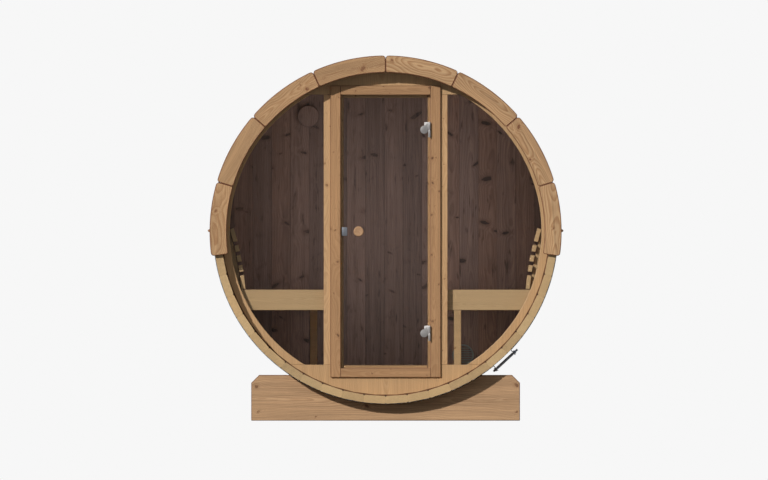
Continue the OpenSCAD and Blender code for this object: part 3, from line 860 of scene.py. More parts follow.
def evaluated_mesh(tree: bpy.types.NodeTree, ids: dict[str, str], values: dict[str, Any],
                   name: str) -> bpy.types.Mesh:
    """Runs a tree once and gives back what it makes as a plain mesh.

    Args:
        tree: the tree.
        ids: its inputs' identifiers by name.
        values: its inputs' values by name.
        name: name of the mesh.

    Returns:
        The mesh.
    """
    carrier = link(bpy.data.meshes.new(name), name + "_carrier")
    modifier = carrier.modifiers.new("tree", "NODES")
    modifier.node_group = tree
    for key, value in values.items():
        modifier[ids[key]] = value
    carrier.update_tag()
    mesh = bpy.data.meshes.new_from_object(carrier.evaluated_get(bpy.context.evaluated_depsgraph_get()))
    mesh.name = name
    bpy.data.objects.remove(carrier)
    return mesh


class ArrayTree:
    """A Geometry Nodes tree that lays out copies of one board in a row, round the barrel's axis, or both."""

    INPUTS = (("Board", "NodeSocketObject"), ("Count", "NodeSocketInt"), ("Start", "NodeSocketVector"),
              ("Step", "NodeSocketVector"), ("First Turn", "NodeSocketFloat"), ("Turn", "NodeSocketFloat"),
              ("Size", "NodeSocketVector"), ("Seed", "NodeSocketFloat"), ("Finish", "NodeSocketMaterial"))

    def __init__(self) -> None:
        """Builds the tree."""
        self.tree, self.ids, g, given = started_tree("board_array", self.INPUTS)
        index = g.add("GeometryNodeInputIndex").outputs[0]
        along = g.add("ShaderNodeVectorMath", {0: given["Step"]}, operation="SCALE")
        g.feed(along.inputs["Scale"], index)
        place = g.vector("ADD", given["Start"], along.outputs[0])
        turn = g.math("MULTIPLY_ADD", index, given["Turn"], given["First Turn"])
        points = g.add("GeometryNodePoints", {"Count": given["Count"], "Position": place})
        board = g.add("GeometryNodeObjectInfo", {"Object": given["Board"]}, transform_space="ORIGINAL")
        bare = g.add("GeometryNodeRemoveAttribute", {"Geometry": board.outputs["Geometry"], "Name": "board"})
        copies = g.add("GeometryNodeInstanceOnPoints", {
            "Points": points.outputs[0], "Instance": bare.outputs["Geometry"],
            "Rotation": g.join(0.0, turn, 0.0), "Scale": given["Size"]})
        number = g.math("ADD", index, given["Seed"])
        numbered = {"Geometry": copies.outputs[0], "Name": "board", "Value": number}
        named = g.add("GeometryNodeStoreNamedAttribute", numbered, data_type="FLOAT", domain="INSTANCE")
        finish_tree(g, named.outputs[0], given["Finish"])

    def lay(self, name: str, board: bpy.types.Object, finish: Finish, count: int,
            **sizes: Any) -> bpy.types.Mesh:
        """Lays out the copies and gives them back as a plain mesh.

        Args:
            name: name of the mesh.
            board: the board to repeat.
            finish: its finish.
            count: how many.
            sizes: the tree's other inputs by name, with _ for a space.

        Returns:
            The mesh.
        """
        values = {"Board": board, "Count": count, "Start": (0.0, 0.0, 0.0), "Step": (0.0, 0.0, 0.0),
                  "First Turn": 0.0, "Turn": 0.0, "Size": (1.0, 1.0, 1.0), "Seed": 0.0,
                  "Finish": dressed(finish)}
        values.update({key.replace("_", " "): value for key, value in sizes.items()})
        return evaluated_mesh(self.tree, self.ids, values, name)


class GrilleTree:
    """A Geometry Nodes tree for a round grille: a filleted ring with level slats cut to its round."""

    INPUTS = (("Radius", "NodeSocketFloat"), ("Ring", "NodeSocketFloat"), ("Depth", "NodeSocketFloat"),
              ("Count", "NodeSocketInt"), ("Slat", "NodeSocketFloat"), ("Finish", "NodeSocketMaterial"))
    ROUND_STEPS = 64
    FILLET_STEPS = 3
    FILLET = 0.25
    SLAT_DEPTH = 0.9

    def __init__(self) -> None:
        """Builds the tree."""
        self.tree, self.ids, g, given = started_tree("round_grille", self.INPUTS)
        index = g.add("GeometryNodeInputIndex").outputs[0]
        clear = g.math("SUBTRACT", given["Radius"], given["Ring"])
        pitch = g.math("DIVIDE", g.math("MULTIPLY", clear, 2.0), g.math("ADD", given["Count"], 1.0))
        up = g.math("SUBTRACT", g.math("MULTIPLY", g.math("ADD", index, 1.0), pitch), clear)
        middle = g.math("MULTIPLY_ADD", given["Ring"], -0.5, given["Radius"])
        square = g.math("SUBTRACT", g.math("MULTIPLY", middle, middle), g.math("MULTIPLY", up, up))
        half = g.math("SQRT", square)
        points = g.add("GeometryNodePoints", {"Count": given["Count"], "Position": g.join(0.0, 0.0, up)})
        slat = g.add("GeometryNodeMeshCube")
        deep = g.math("MULTIPLY", given["Depth"], self.SLAT_DEPTH)
        size = g.join(g.math("MULTIPLY", half, 2.0), deep, given["Slat"])
        slats = g.add("GeometryNodeInstanceOnPoints", {
            "Points": points.outputs[0], "Instance": slat.outputs[0], "Scale": size})
        circle = g.add("GeometryNodeCurvePrimitiveCircle", {"Resolution": self.ROUND_STEPS, "Radius": middle})
        section = g.add("GeometryNodeCurvePrimitiveQuadrilateral", {
            "Width": given["Ring"], "Height": given["Depth"]})
        fillet = {"Curve": section.outputs[0], "Count": self.FILLET_STEPS,
                  "Radius": g.math("MULTIPLY", given["Ring"], self.FILLET)}
        eased = g.add("GeometryNodeFilletCurve", fillet, mode="POLY")
        ring = g.add("GeometryNodeCurveToMesh", {
            "Curve": circle.outputs[0], "Profile Curve": eased.outputs[0]})
        stood = g.add("GeometryNodeTransform", {
            "Geometry": ring.outputs[0], "Rotation": (QUARTER_TURN, 0.0, 0.0)})
        both = g.add("GeometryNodeJoinGeometry")
        g.feed(both.inputs[0], slats.outputs[0])
        g.feed(both.inputs[0], stood.outputs[0])
        finish_tree(g, both.outputs[0], given["Finish"])

    def make(self, radius: float, ring: float, depth: float, count: int, slat: float,
             finish: Finish) -> bpy.types.Mesh:
        """Makes one grille round the origin, facing along Y.

        Args:
            radius: its outer radius.
            ring: width of its ring.
            depth: how deep it is.
            count: how many slats.
            slat: height of a slat.
            finish: its finish.

        Returns:
            The mesh.
        """
        values = {"Radius": radius, "Ring": ring, "Depth": depth, "Count": count, "Slat": slat,
                  "Finish": dressed(finish)}
        return evaluated_mesh(self.tree, self.ids, values, "grille")


def joined(meshes: Sequence[bpy.types.Mesh], name: str) -> bpy.types.Object:
    """Joins meshes into one piece, keeping their attributes."""
    pieces = [link(mesh, f"{name}_{k}") for k, mesh in enumerate(meshes)]
    if len(pieces) > 1:
        with bpy.context.temp_override(active_object=pieces[0], selected_editable_objects=pieces):
            bpy.ops.object.join()
    pieces[0].name = name
    pieces[0].data.name = name
    return pieces[0]


def drop(piece: bpy.types.Object) -> None:
    """Removes a pattern board once its copies are made."""
    bpy.data.objects.remove(piece)


@dataclass
class Barrel:
    """Sizes that every sub-assembly shares, taken from the frame."""

    axis: float
    half_len: float
    radius: float = 1000 * MM
    stave: float = 45 * MM
    staves: int = 48
    wall: float = 40 * MM
    inset: float = 83 * MM
    fit: float = 0.3 * MM

    @classmethod
    def from_frame(cls, frame: dict[str, Any]) -> "Barrel":
        """Reads the axis height and the length from the frame."""
        low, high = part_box("staves_top")
        return cls(axis=frame["joints"][0]["pos_m"][2], half_len=(high.y - low.y) / 2)

    @property
    def inner(self) -> float:
        """Distance from the axis to the inner face of a stave."""
        return self.radius - self.stave

    @property
    def turn(self) -> float:
        """Angle of one stave, in degrees."""
        return 360 / self.staves

    def upright(self, y: float = 0.0) -> Matrix:
        """Takes across, up and thickness to a plane across the barrel, thickness going back from y."""
        return Matrix(((1, 0, 0, 0), (0, 0, 1, y), (0, 1, 0, self.axis), (0, 0, 0, 1)))


@dataclass
class Shell:
    """The round wall of staves, its steel bands, its end trim and its roofing."""

    barrel: Barrel
    arrays: ArrayTree
    groove: float = 5 * MM
    trim_in: float = 925 * MM
    trim_out: float = 1024 * MM
    trim_t: float = 28 * MM
    trim_reach: float = 98.1
    trim_count: int = 4
    trim_joint: float = 0.8 * MM
    trim_corners: tuple[float, float] = (20 * MM, 12 * MM)
    trim_steps: int = 14
    band_at: float = 770 * MM
    band_w: float = 34 * MM
    rod_turn: float = 137.3
    rod_out: float = 24 * MM
    sleeve: tuple[float, float] = (8 * MM, 62 * MM)
    sleeve_sides: int = 24
    joint_shade_tuck: float = 1 * MM
    roof_in: float = 1005.1 * MM
    course_low: float = 9 * MM
    course_high: float = 4 * MM
    courses: int = 12
    tabs: int = 8
    tab_gap: float = 5 * MM
    felt: float = 2 * MM
    stave_ease: float = 0.5 * MM
    trim_ease: float = 4.5 * MM
    tab_ease: float = 0.8 * MM
    steel_ease: float = 0.8 * MM
    sleeve_ease: float = 1 * MM
    stave_number: float = 100.0
    trim_number: int = 200
    batten_number: int = 300
    joint_shade_number: int = 320
    tab_number: float = 1000.0
    sheet_number: float = 3000.0
    name_step: int = 20
    course_step: int = 50
    side_step: int = 700
    half_tab_step: int = 20

    def stave_outline(self) -> Outline:
        """Cross section of a stave with half a V groove at each corner."""
        half = math.tan(math.radians(self.barrel.turn / 2))
        outer, inner, cut = self.barrel.radius, self.barrel.inner, self.groove
        right = [(half * outer - cut, outer), (half * (outer - cut), outer - cut),
                 (half * (inner + cut), inner + cut), (half * inner - cut, inner)]
        return right + [(-x, z) for x, z in reversed(right)]

    def build_staves(self) -> None:
        """Builds the ring of staves."""
        pattern = Lumber("stave_pattern", 0)
        end = self.barrel.half_len
        pattern.saw(self.stave_outline(), -end, end, LENGTHWISE, Grain.THROUGH, ease=self.stave_ease,
                    segments=1)
        board = pattern.piece()
        mesh = self.arrays.lay("staves", board, STAVE_WOOD, self.barrel.staves,
                               Start=(0, 0, self.barrel.axis), First_Turn=math.radians(self.barrel.turn / 2),
                               Turn=math.radians(self.barrel.turn), Seed=self.stave_number)
        drop(board)
        groups = ["top", "upper_right", "right", "lower_right", "bottom", "lower_left", "left", "upper_left"]
        settle(joined([mesh], "staves"), STAVE_WOOD, "barrel", ["staves_" + g for g in groups])

    def trim_outline(self, k: int, side: Side) -> Outline:
        """Outline of a trim board, k boards down from the top."""
        step = self.trim_reach / self.trim_count
        gap = math.degrees(self.trim_joint / 2 / self.trim_out)
        start, end = side.value * (k * step + gap), side.value * ((k + 1) * step - gap)
        count = self.trim_steps
        outer, inner = self.trim_corners
        outline = arc(self.trim_out, start, end, count) + arc(self.trim_in, end, start, count)
        return rounded(outline, {0: outer, count: outer, count + 1: inner, 2 * count + 1: inner})

    def build_trim(self) -> None:
        """Builds the trim boards on both ends, each with its grain along its own chord."""
        step = self.trim_reach / self.trim_count
        front = -self.barrel.half_len - self.trim_t - self.barrel.fit
        for name, sides, back in (("front_trim_left", [Side.LEFT], 1), ("front_trim_right", [Side.RIGHT], 1),
                                  ("rear_trim", [Side.LEFT, Side.RIGHT], -1)):
            lumber = Lumber(name, self.trim_number + self.name_step * len(name))
            for side in sides:
                for k in range(self.trim_count):
                    middle = side.value * math.radians((k + 0.5) * step)
                    turn = Matrix.Rotation(middle, 4, "Z")
                    outline = [tuple((turn @ Vector((x, z, 0))).xy) for x, z in self.trim_outline(k, side)]
                    place = Matrix.Scale(back, 4, (0, 1, 0)) @ self.barrel.upright(front) @ turn.inverted()
                    lumber.saw(outline, 0, self.trim_t, place, Grain.ACROSS, ease=self.trim_ease, segments=3)
            settle(lumber.piece(), TRIM_WOOD, "barrel", [name])

    def felt_sheets(self, name: str, side: Side) -> bpy.types.Mesh:
        """Lays a full-length felt sheet under each course of one side."""
        half = math.tan(math.radians(self.barrel.turn / 2))
        low, top, end = self.roof_in, self.roof_in + self.felt, self.barrel.half_len
        pattern = Lumber("felt_pattern", 0)
        pattern.saw([(-half * low, low), (half * low, low), (half * top, top), (-half * top, top)], -end, end,
                    LENGTHWISE, Grain.THROUGH, ease=0.0)
        sheet = pattern.piece()
        turn = side.value * math.radians(self.barrel.turn)
        mesh = self.arrays.lay(name, sheet, ROOFING, self.courses, Start=(0, 0, self.barrel.axis),
                               First_Turn=turn / 2, Turn=turn,
                               Seed=self.sheet_number + self.course_step * side.value)
        drop(sheet)
        return mesh

    def tab_courses(self, name: str, side: Side) -> list[bpy.types.Mesh]:
        """Lays the tabs of one side, with half a tab at each end of every other course."""
        length = 2 * self.barrel.half_len
        width = length / self.tabs
        half = side.value * math.tan(math.radians(self.barrel.turn / 2))
        outs = (self.felt, self.course_low, self.course_high)
        top, low_edge, high_edge = (self.roof_in + out for out in outs)
        section = [(-half * top, top), (half * top, top), (half * low_edge, low_edge),
                   (-half * high_edge, high_edge)]
        reach = (width - self.tab_gap) / 2
        pattern = Lumber("tab_pattern", 0)
        pattern.saw(section, -reach, reach, LENGTHWISE, Grain.THROUGH, ease=self.tab_ease, segments=1)
        tab = pattern.piece()
        meshes = []
        for course in range(self.courses):
            turn = side.value * math.radians((course + 0.5) * self.barrel.turn)
            seed = self.tab_number + self.course_step * course + self.side_step * side.value
            odd = course % 2
            start = (0, -length / 2 + width * (0.5 + 0.5 * odd), self.barrel.axis)
            meshes.append(self.arrays.lay(name, tab, ROOFING, self.tabs - odd, Start=start,
                                          Step=(0, width, 0), First_Turn=turn, Seed=seed))
            if odd:
                start = (0, -length / 2 + width / 4, self.barrel.axis)
                meshes.append(self.arrays.lay(name, tab, ROOFING, 2, Start=start,
                                              Step=(0, length - width / 2, 0), First_Turn=turn,
                                              Size=(1, 0.5, 1), Seed=seed + self.half_tab_step))
        drop(tab)
        return meshes

    def build_roof(self) -> None:
        """Builds both sides of the roofing from felt and tabs."""
        for side, name in ((Side.LEFT, "roof_shingles_left"), (Side.RIGHT, "roof_shingles_right")):
            meshes = [self.felt_sheets(name, side), *self.tab_courses(name, side)]
            settle(joined(meshes, name), ROOFING, "barrel", [name])

    def build_joint_shade(self) -> None:
        """Builds dark strips in the roofing's colour that fill the stave joints under the steel bands:
        painted shade of the open joints there.
        """
        lumber = Lumber("band_underlay", self.joint_shade_number)
        half = math.radians(self.barrel.turn / 2)
        outer = self.barrel.radius / math.cos(half)
        inner = self.barrel.radius - self.groove - self.joint_shade_tuck
        for y in (-self.band_at, self.band_at):
            for k in range(self.barrel.staves):
                turn = (k + 0.5) * self.barrel.turn
                left, right = turn - self.barrel.turn / 2, turn + self.barrel.turn / 2
                outline = arc(outer, left, right, 4) + arc(inner, right, left, 1)
                lumber.saw(outline, -self.band_w / 2, self.band_w / 2, self.barrel.upright(y), Grain.ACROSS,
                           ease=0.0)
        # Dark like the roofing: painted shade of the open stave joints under the bands.
        settle(lumber.piece(), ROOFING, "barrel")

    def build_sleeves(self) -> None:
        """Builds the turnbuckle sleeves on the tensioner rods."""
        lumber = Lumber("tensioner_sleeves", 0)
        radius, half = self.sleeve
        outline = arc(radius, 0, 360, self.sleeve_sides)[:-1]
        out = self.barrel.radius + self.rod_out
        along = Matrix(((0, 0, 1, 0), (1, 0, 0, 0), (0, 1, 0, out), (0, 0, 0, 1)))
        turn = Matrix.Rotation(math.radians(self.rod_turn), 4, "Y")
        for y in (-self.band_at, self.band_at):
            place = Matrix.Translation((0, y, self.barrel.axis)) @ turn
            lumber.saw(outline, -half, half, place @ along, Grain.ACROSS, ease=self.sleeve_ease)
        settle(smoothed(lumber.piece()), BAND_STEEL, "barrel")

    def dress_bands(self, nodes: dict[str, bpy.types.Object]) -> None:
        """Dresses the steel bands, which keep their frame shape, and builds eased tensioners."""
        self.build_joint_shade()
        self.build_sleeves()
        for name in ("band_front", "band_rear"):
            dress_node(nodes[name], BAND_STEEL)
        eased_metal("band_tensioners", BAND_STEEL, "barrel", self.steel_ease)

    def build(self, nodes: dict[str, bpy.types.Object]) -> None:
        """Builds the whole shell."""
        self.build_staves()
        self.build_trim()
        self.build_roof()
        copied("drip_battens", "drip_battens", self.batten_number, TRIM_WOOD, Way.Y)
        self.dress_bands(nodes)


def dress_node(node: bpy.types.Object, finish: Finish) -> None:
    """Gives a frame node that keeps its shape a finish."""
    node.data.materials.clear()
    node.data.materials.append(dressed(finish))
    LOG.info("%s: kept, %s", node.name, finish.name)


def smoothed(piece: bpy.types.Object) -> bpy.types.Object:
    """Smooths a piece's round faces, keeps its creases sharp and gives it back."""
    piece.data.shade_smooth()
    piece.data.set_sharp_from_angle(angle=CREASE)
    return piece


def eased_metal(node: str, finish: SatinMetal, body: str, ease: float) -> None:
    """Builds a metal piece as a copy of its node with eased edges and smooth round faces.

    Args:
        node: the frame's node.
        finish: its metal.
        body: the body it moves with.
        ease: how far its edges are rounded over.
    """
    lumber = Lumber(node + "_piece", 0)
    lumber.copy(node, Way.X, ease=ease, weld=0.02 * MM)
    settle(smoothed(lumber.piece()), finish, body, [node])


@dataclass
class PaintedShadeRings:
    """Dark strips where both end walls meet the staves, and dark fillings in the V joints of the staves
    there: painted shade of that line and of the notches.
    """

    barrel: Barrel
    arrays: ArrayTree
    depth: float = 5 * MM
    notch: float = 6 * MM
    stand: float = 1 * MM
    first_number: float = 1800.0

    def ring(self, name: str, outline: Outline, stand: float, finish: PlanedWood) -> None:
        """Lays one strip at every stave joint of both walls.

        Args:
            name: name of the piece.
            outline: cross section of a strip, centred on a stave joint.
            stand: how far it stands out of the wall.
            finish: its finish.
        """
        pattern = Lumber(name + "_pattern", 0)
        half = self.barrel.wall / 2 + stand
        pattern.saw(outline, -half, half, LENGTHWISE, Grain.ACROSS, ease=0.0)
        strip = pattern.piece()
        middle = self.barrel.half_len - self.barrel.inset - self.barrel.wall / 2
        turn = math.radians(self.barrel.turn)
        meshes = [self.arrays.lay(name, strip, finish, self.barrel.staves, Start=(0, y, self.barrel.axis),
                                  Turn=turn, Seed=self.first_number) for y in (-middle, middle)]
        drop(strip)
        settle(joined(meshes, name), finish, "barrel")

    def build(self) -> None:
        """Builds the dark strips of painted shade along the staves and the dark painted shade fillings in
        their V joints.
        """
        half = math.radians(self.barrel.turn / 2)
        inner, tip = self.barrel.inner, self.barrel.inner / math.cos(half)
        low = (inner - self.depth) / inner
        corners = [(0.0, tip), (math.sin(half) * inner, math.cos(half) * inner)]
        right = corners + [(x * low, z * low) for x, z in reversed(corners)]
        # A dark strip at the wall's edge against the staves: painted shade of the line there.
        self.ring("wall_seals", right[:3] + [(-x, z) for x, z in reversed(right[1:3])], self.stand, PAINTED_SHADE_LINE_WOOD)
        notch_shade = [(0.0, tip + self.notch), (self.notch, tip - self.notch * math.tan(half)),
                (self.notch, tip - self.depth), (-self.notch, tip - self.depth),
                (-self.notch, tip - self.notch * math.tan(half))]
        # A dark filling in each V joint: painted shade of the notch.
        self.ring("joint_plugs", notch_shade, 2 * self.stand, PAINTED_NOTCH_SHADE_WOOD)


@dataclass
class FrontWall:
    """Rim, posts, panels, fixed glass and the door frame."""

    barrel: Barrel
    joint_band: float = 12 * MM
    leaf_ease: float = 0.6 * MM
    first_number: int = 400
    number_step: int = 7

    def at_staves(self, place: Vector) -> bool:
        """Tells whether a place lies at the joint between the wall and the staves, where eased edges are
        darkened as painted shade.
        """
        return math.hypot(place.x, place.z - self.barrel.axis) > self.barrel.inner - self.joint_band

    def build(self, nodes: dict[str, bpy.types.Object]) -> None:
        """Builds the timber from the frame's shapes and dresses the glass."""
        timber = (("front_sill_panel", Way.Z, 4.0, WALL_WOOD), ("front_head_panel", Way.Z, 4.0, WALL_WOOD),
                  ("front_rim_left", Way.Z, 4.0, WALL_WOOD), ("front_rim_right", Way.Z, 4.0, WALL_WOOD),
                  ("front_posts", Way.Z, 2.5, FRAME_WOOD), ("glazing_beads", Way.Z, 1.5, FRAME_WOOD),
                  ("door_jambs", Way.Z, 3.0, JAMB_WOOD), ("door_frame_head", Way.X, 3.0, JAMB_WOOD),
                  ("door_frame_sill", Way.X, 3.0, JAMB_WOOD))
        for k, (node, way, ease, finish) in enumerate(timber):
            # Wall panels darken their eased edges near the staves: painted shade in the corner against the
            # staves.
            copied(node, node + "_piece", self.first_number + self.number_step * k, finish, way,
                   ease=ease * MM, stained=self.at_staves if finish is WALL_WOOD else None)
        dress_node(nodes["side_glass"], CLEAR_GLASS)
        eased_metal("hinge_leaves", HINGE_METAL, "barrel", self.leaf_ease)


@dataclass
class Door:
    """The glass door with its hinges, knobs and catch plate."""

    barrel: Barrel
    knob_radius: float = 30 * MM
    knob_out: float = 36 * MM
    neck_radius: float = 13 * MM
    neck_shape: tuple[tuple[float, float], ...] = ((1.5 * MM, 0.0), (0.0, 2 * MM), (-2.5 * MM, 7 * MM),
                                                   (0.0, 12 * MM))
    rim_round: tuple[float, float] = (6 * MM, 10.5 * MM)
    rim_back: float = 11 * MM
    rim_sweep: int = 80
    rim_steps: int = 8
    lip: tuple[float, float] = (8 * MM, 0.8 * MM)
    dish: tuple[tuple[float, float], ...] = ((0.45, 2.6 * MM), (0.2, 3.2 * MM), (0.0, 3.3 * MM))
    steps: int = 48
    clamp_ease: float = 2.2 * MM
    plate_ease: float = 0.8 * MM
    first_number: int = 900

    def knob_profile(self) -> Outline:
        """Half section of a knob, from its foot on the glass to the middle of its dished face."""
        r, out = self.knob_radius, self.knob_out
        across, deep = self.rim_round
        points = [(0.0, 0.0)] + [(self.neck_radius + more, up) for more, up in self.neck_shape]
        for k in range(self.rim_steps + 1):
            a = math.radians(-self.rim_sweep + 2 * self.rim_sweep * k / self.rim_steps)
            points.append((r - across + across * math.cos(a), out - self.rim_back + deep * math.sin(a)))
        points.append((r - self.lip[0], out - self.lip[1]))
        return points + [(r * share, out - down) for share, down in self.dish]

    def build_knobs(self) -> None:
        """Turns both knobs round the spindle, with their grain across."""
        low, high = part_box("door_knobs")
        centre = Vector(((low.x + high.x) / 2, 0, (low.z + high.z) / 2))
        lumber = Lumber("door_knobs_piece", self.first_number)
        glass_low, glass_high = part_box("door_glass")
        for face, out in ((glass_low.y - self.barrel.fit, -1), (glass_high.y + self.barrel.fit, 1)):
            bm = bmesh.new()
            profile = self.knob_profile()
            rings = []
            for r, d in profile:
                if r == 0:
                    rings.append([bm.verts.new(centre + Vector((0, face + out * d, 0)))])
                    continue
                angles = [2 * math.pi * k / self.steps for k in range(self.steps)]
                turned = [Vector((r * math.cos(a), face + out * d, r * math.sin(a))) for a in angles]
                rings.append([bm.verts.new(centre + spot) for spot in turned])
            for one, two in zip(rings, rings[1:]):
                for k in range(self.steps):
                    a, b = one[k % len(one)], one[(k + 1) % len(one)]
                    c, d = two[(k + 1) % len(two)], two[k % len(two)]
                    bm.faces.new(list(dict.fromkeys((a, b, c, d))))
            lumber.take(bm, lambda v: ((v.co - centre).x, (v.co - centre).z, v.co.y))
        piece = lumber.piece()
        piece.data.shade_smooth()
        settle(piece, KNOB_WOOD, "door", ["door_knobs"])

    def build(self, nodes: dict[str, bpy.types.Object]) -> None:
        """Builds the door's fittings and dresses its glass."""
        dress_node(nodes["door_glass"], CLEAR_GLASS)
        eased_metal("door_hinge_clamps", HINGE_METAL, "door", self.clamp_ease)
        eased_metal("door_catch_plate", CATCH_METAL, "door", self.plate_ease)
        self.build_knobs()


@dataclass
class RearWall:
    """Dark upright boards with V joints, and the air vents on them."""

    barrel: Barrel
    pitch: float = 109.2 * MM
    joint_at: float = -7.5 * MM
    narrowest: float = 12 * MM
    arc_steps: int = 5
    ease: float = 1.5 * MM
    cover_ease: float = 4 * MM
    first_number: int = 500
    cover_number: int = 566
    vent_radius: float = 63 * MM
    ring: float = 9 * MM
    slats: int = 7
    slat_h: float = 4 * MM
    grille_t: float = 12 * MM
    lower_vent: tuple[float, float] = (450 * MM, -719 * MM)
    upper_vent: tuple[float, float] = (-449 * MM, 670 * MM)

    def build_boards(self) -> None:
        """Saws the boards to the round of the barrel."""
        y = self.barrel.half_len - self.barrel.inset - self.barrel.wall
        reach = self.barrel.inner - self.barrel.fit
        lumber = Lumber("rear_wall_boards", self.first_number)
        first = math.floor((-reach - self.joint_at) / self.pitch)
        edges = [max(-reach, min(reach, self.joint_at + k * self.pitch)) for k in range(first, -first + 2)]
        for left, right in zip(edges, edges[1:]):
            if right - left < self.narrowest:
                continue
            xs = [left + (right - left) * k / self.arc_steps for k in range(self.arc_steps + 1)]
            top = [(x, math.sqrt(max(reach ** 2 - x ** 2, 0.0))) for x in xs]
            both = top + [(x, -z) for x, z in reversed(top)]
            outline = [p for k, p in enumerate(both) if k == 0 or p != both[k - 1]]
            if outline[0] == outline[-1]:
                outline.pop()
            lumber.saw(outline, 0, self.barrel.wall, self.barrel.upright(y), Grain.UP, ease=self.ease)
        settle(lumber.piece(), DARK_WOOD, "barrel", ["rear_wall_left", "rear_wall_middle", "rear_wall_right"])

    def build_grilles(self) -> None:
        """Builds a grille inside over the lower vent and one outside over each vent."""
        tree = GrilleTree()
        back = self.barrel.half_len - self.barrel.inset
        inside = back - self.barrel.wall - self.barrel.fit - self.grille_t / 2
        outside = back + self.barrel.fit + self.grille_t / 2
        meshes = []
        for (x, z), y in ((self.lower_vent, inside), (self.lower_vent, outside), (self.upper_vent, outside)):
            mesh = tree.make(self.vent_radius, self.ring, self.grille_t, self.slats, self.slat_h,
                             GRILLE_METAL)
            mesh.transform(Matrix.Translation((x, y, self.barrel.axis + z)))
            meshes.append(mesh)
        settle(joined(meshes, "vent_grilles_piece"), GRILLE_METAL, "barrel", ["vent_grilles"])

    def build(self) -> None:
        """Builds the wall and its vents."""
        self.build_boards()
        copied("vent_cover", "vent_cover_piece", self.cover_number, DARK_WOOD, Way.Z, ease=self.cover_ease,
               segments=3)
        self.build_grilles()


@dataclass
class Interior:
    """Benches, backrests and the slatted floor."""

    barrel: Barrel
    arrays: ArrayTree
    seat_slats: int = 7
    seat_gap: float = 10 * MM
    floor_slats: int = 7
    floor_gap: float = 12 * MM
    ease: float = 3 * MM
    slat_number: int = 600
    row_step: int = 20
    first_number: int = 660
    number_step: int = 11

    def slat_row(self, node: str, count: int, gap: float, seed: float) -> None:
        """Lays a row of slats that run back through the barrel, in the space that a node holds.

        Args:
            node: the frame's node.
            count: how many slats.
            gap: the gap between them.
            seed: number of the first slat.
        """
        low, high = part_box(node)
        width = (high.x - low.x - (count - 1) * gap) / count
        pattern = Lumber("slat_pattern", 0)
        outline = [(-width / 2, low.z), (width / 2, low.z), (width / 2, high.z), (-width / 2, high.z)]
        pattern.saw(outline, low.y, high.y, LENGTHWISE, Grain.THROUGH, ease=self.ease)
        slat = pattern.piece()
        mesh = self.arrays.lay(node + "_piece", slat, BENCH_WOOD, count, Seed=seed,
                               Start=(low.x + width / 2, 0, 0), Step=(width + gap, 0, 0))
        drop(slat)
        settle(joined([mesh], node + "_piece"), BENCH_WOOD, "barrel", [node])

    def build(self) -> None:
        """Builds everything inside."""
        rows = (("bench_seat_left", self.seat_slats, self.seat_gap),
                ("bench_seat_right", self.seat_slats, self.seat_gap),
                ("floor_slats", self.floor_slats, self.floor_gap))
        for k, (node, count, gap) in enumerate(rows):
            self.slat_row(node, count, gap, self.slat_number + self.row_step * k)
        timber = (("bench_frame_left", Way.X), ("bench_frame_right", Way.X), ("bench_end_boards", Way.X),
                  ("backrest_left", Way.Y), ("backrest_right", Way.Y), ("backrest_supports", Way.Z),
                  ("floor_bearers", Way.X))
        for k, (node, way) in enumerate(timber):
            copied(node, node + "_piece", self.first_number + self.number_step * k, BENCH_WOOD, way,
                   ease=self.ease)


@dataclass
class Cradles:
    """The two timber cradles that carry the barrel."""

    ease: float = 4 * MM
    first_number: int = 800

    def build(self) -> None:
        """Builds both cradles from the frame's shapes."""
        for k, node in enumerate(("cradle_front", "cradle_rear")):
            copied(node, node + "_piece", self.first_number + k, CRADLE_WOOD, Way.X, ease=self.ease,
                   segments=3)


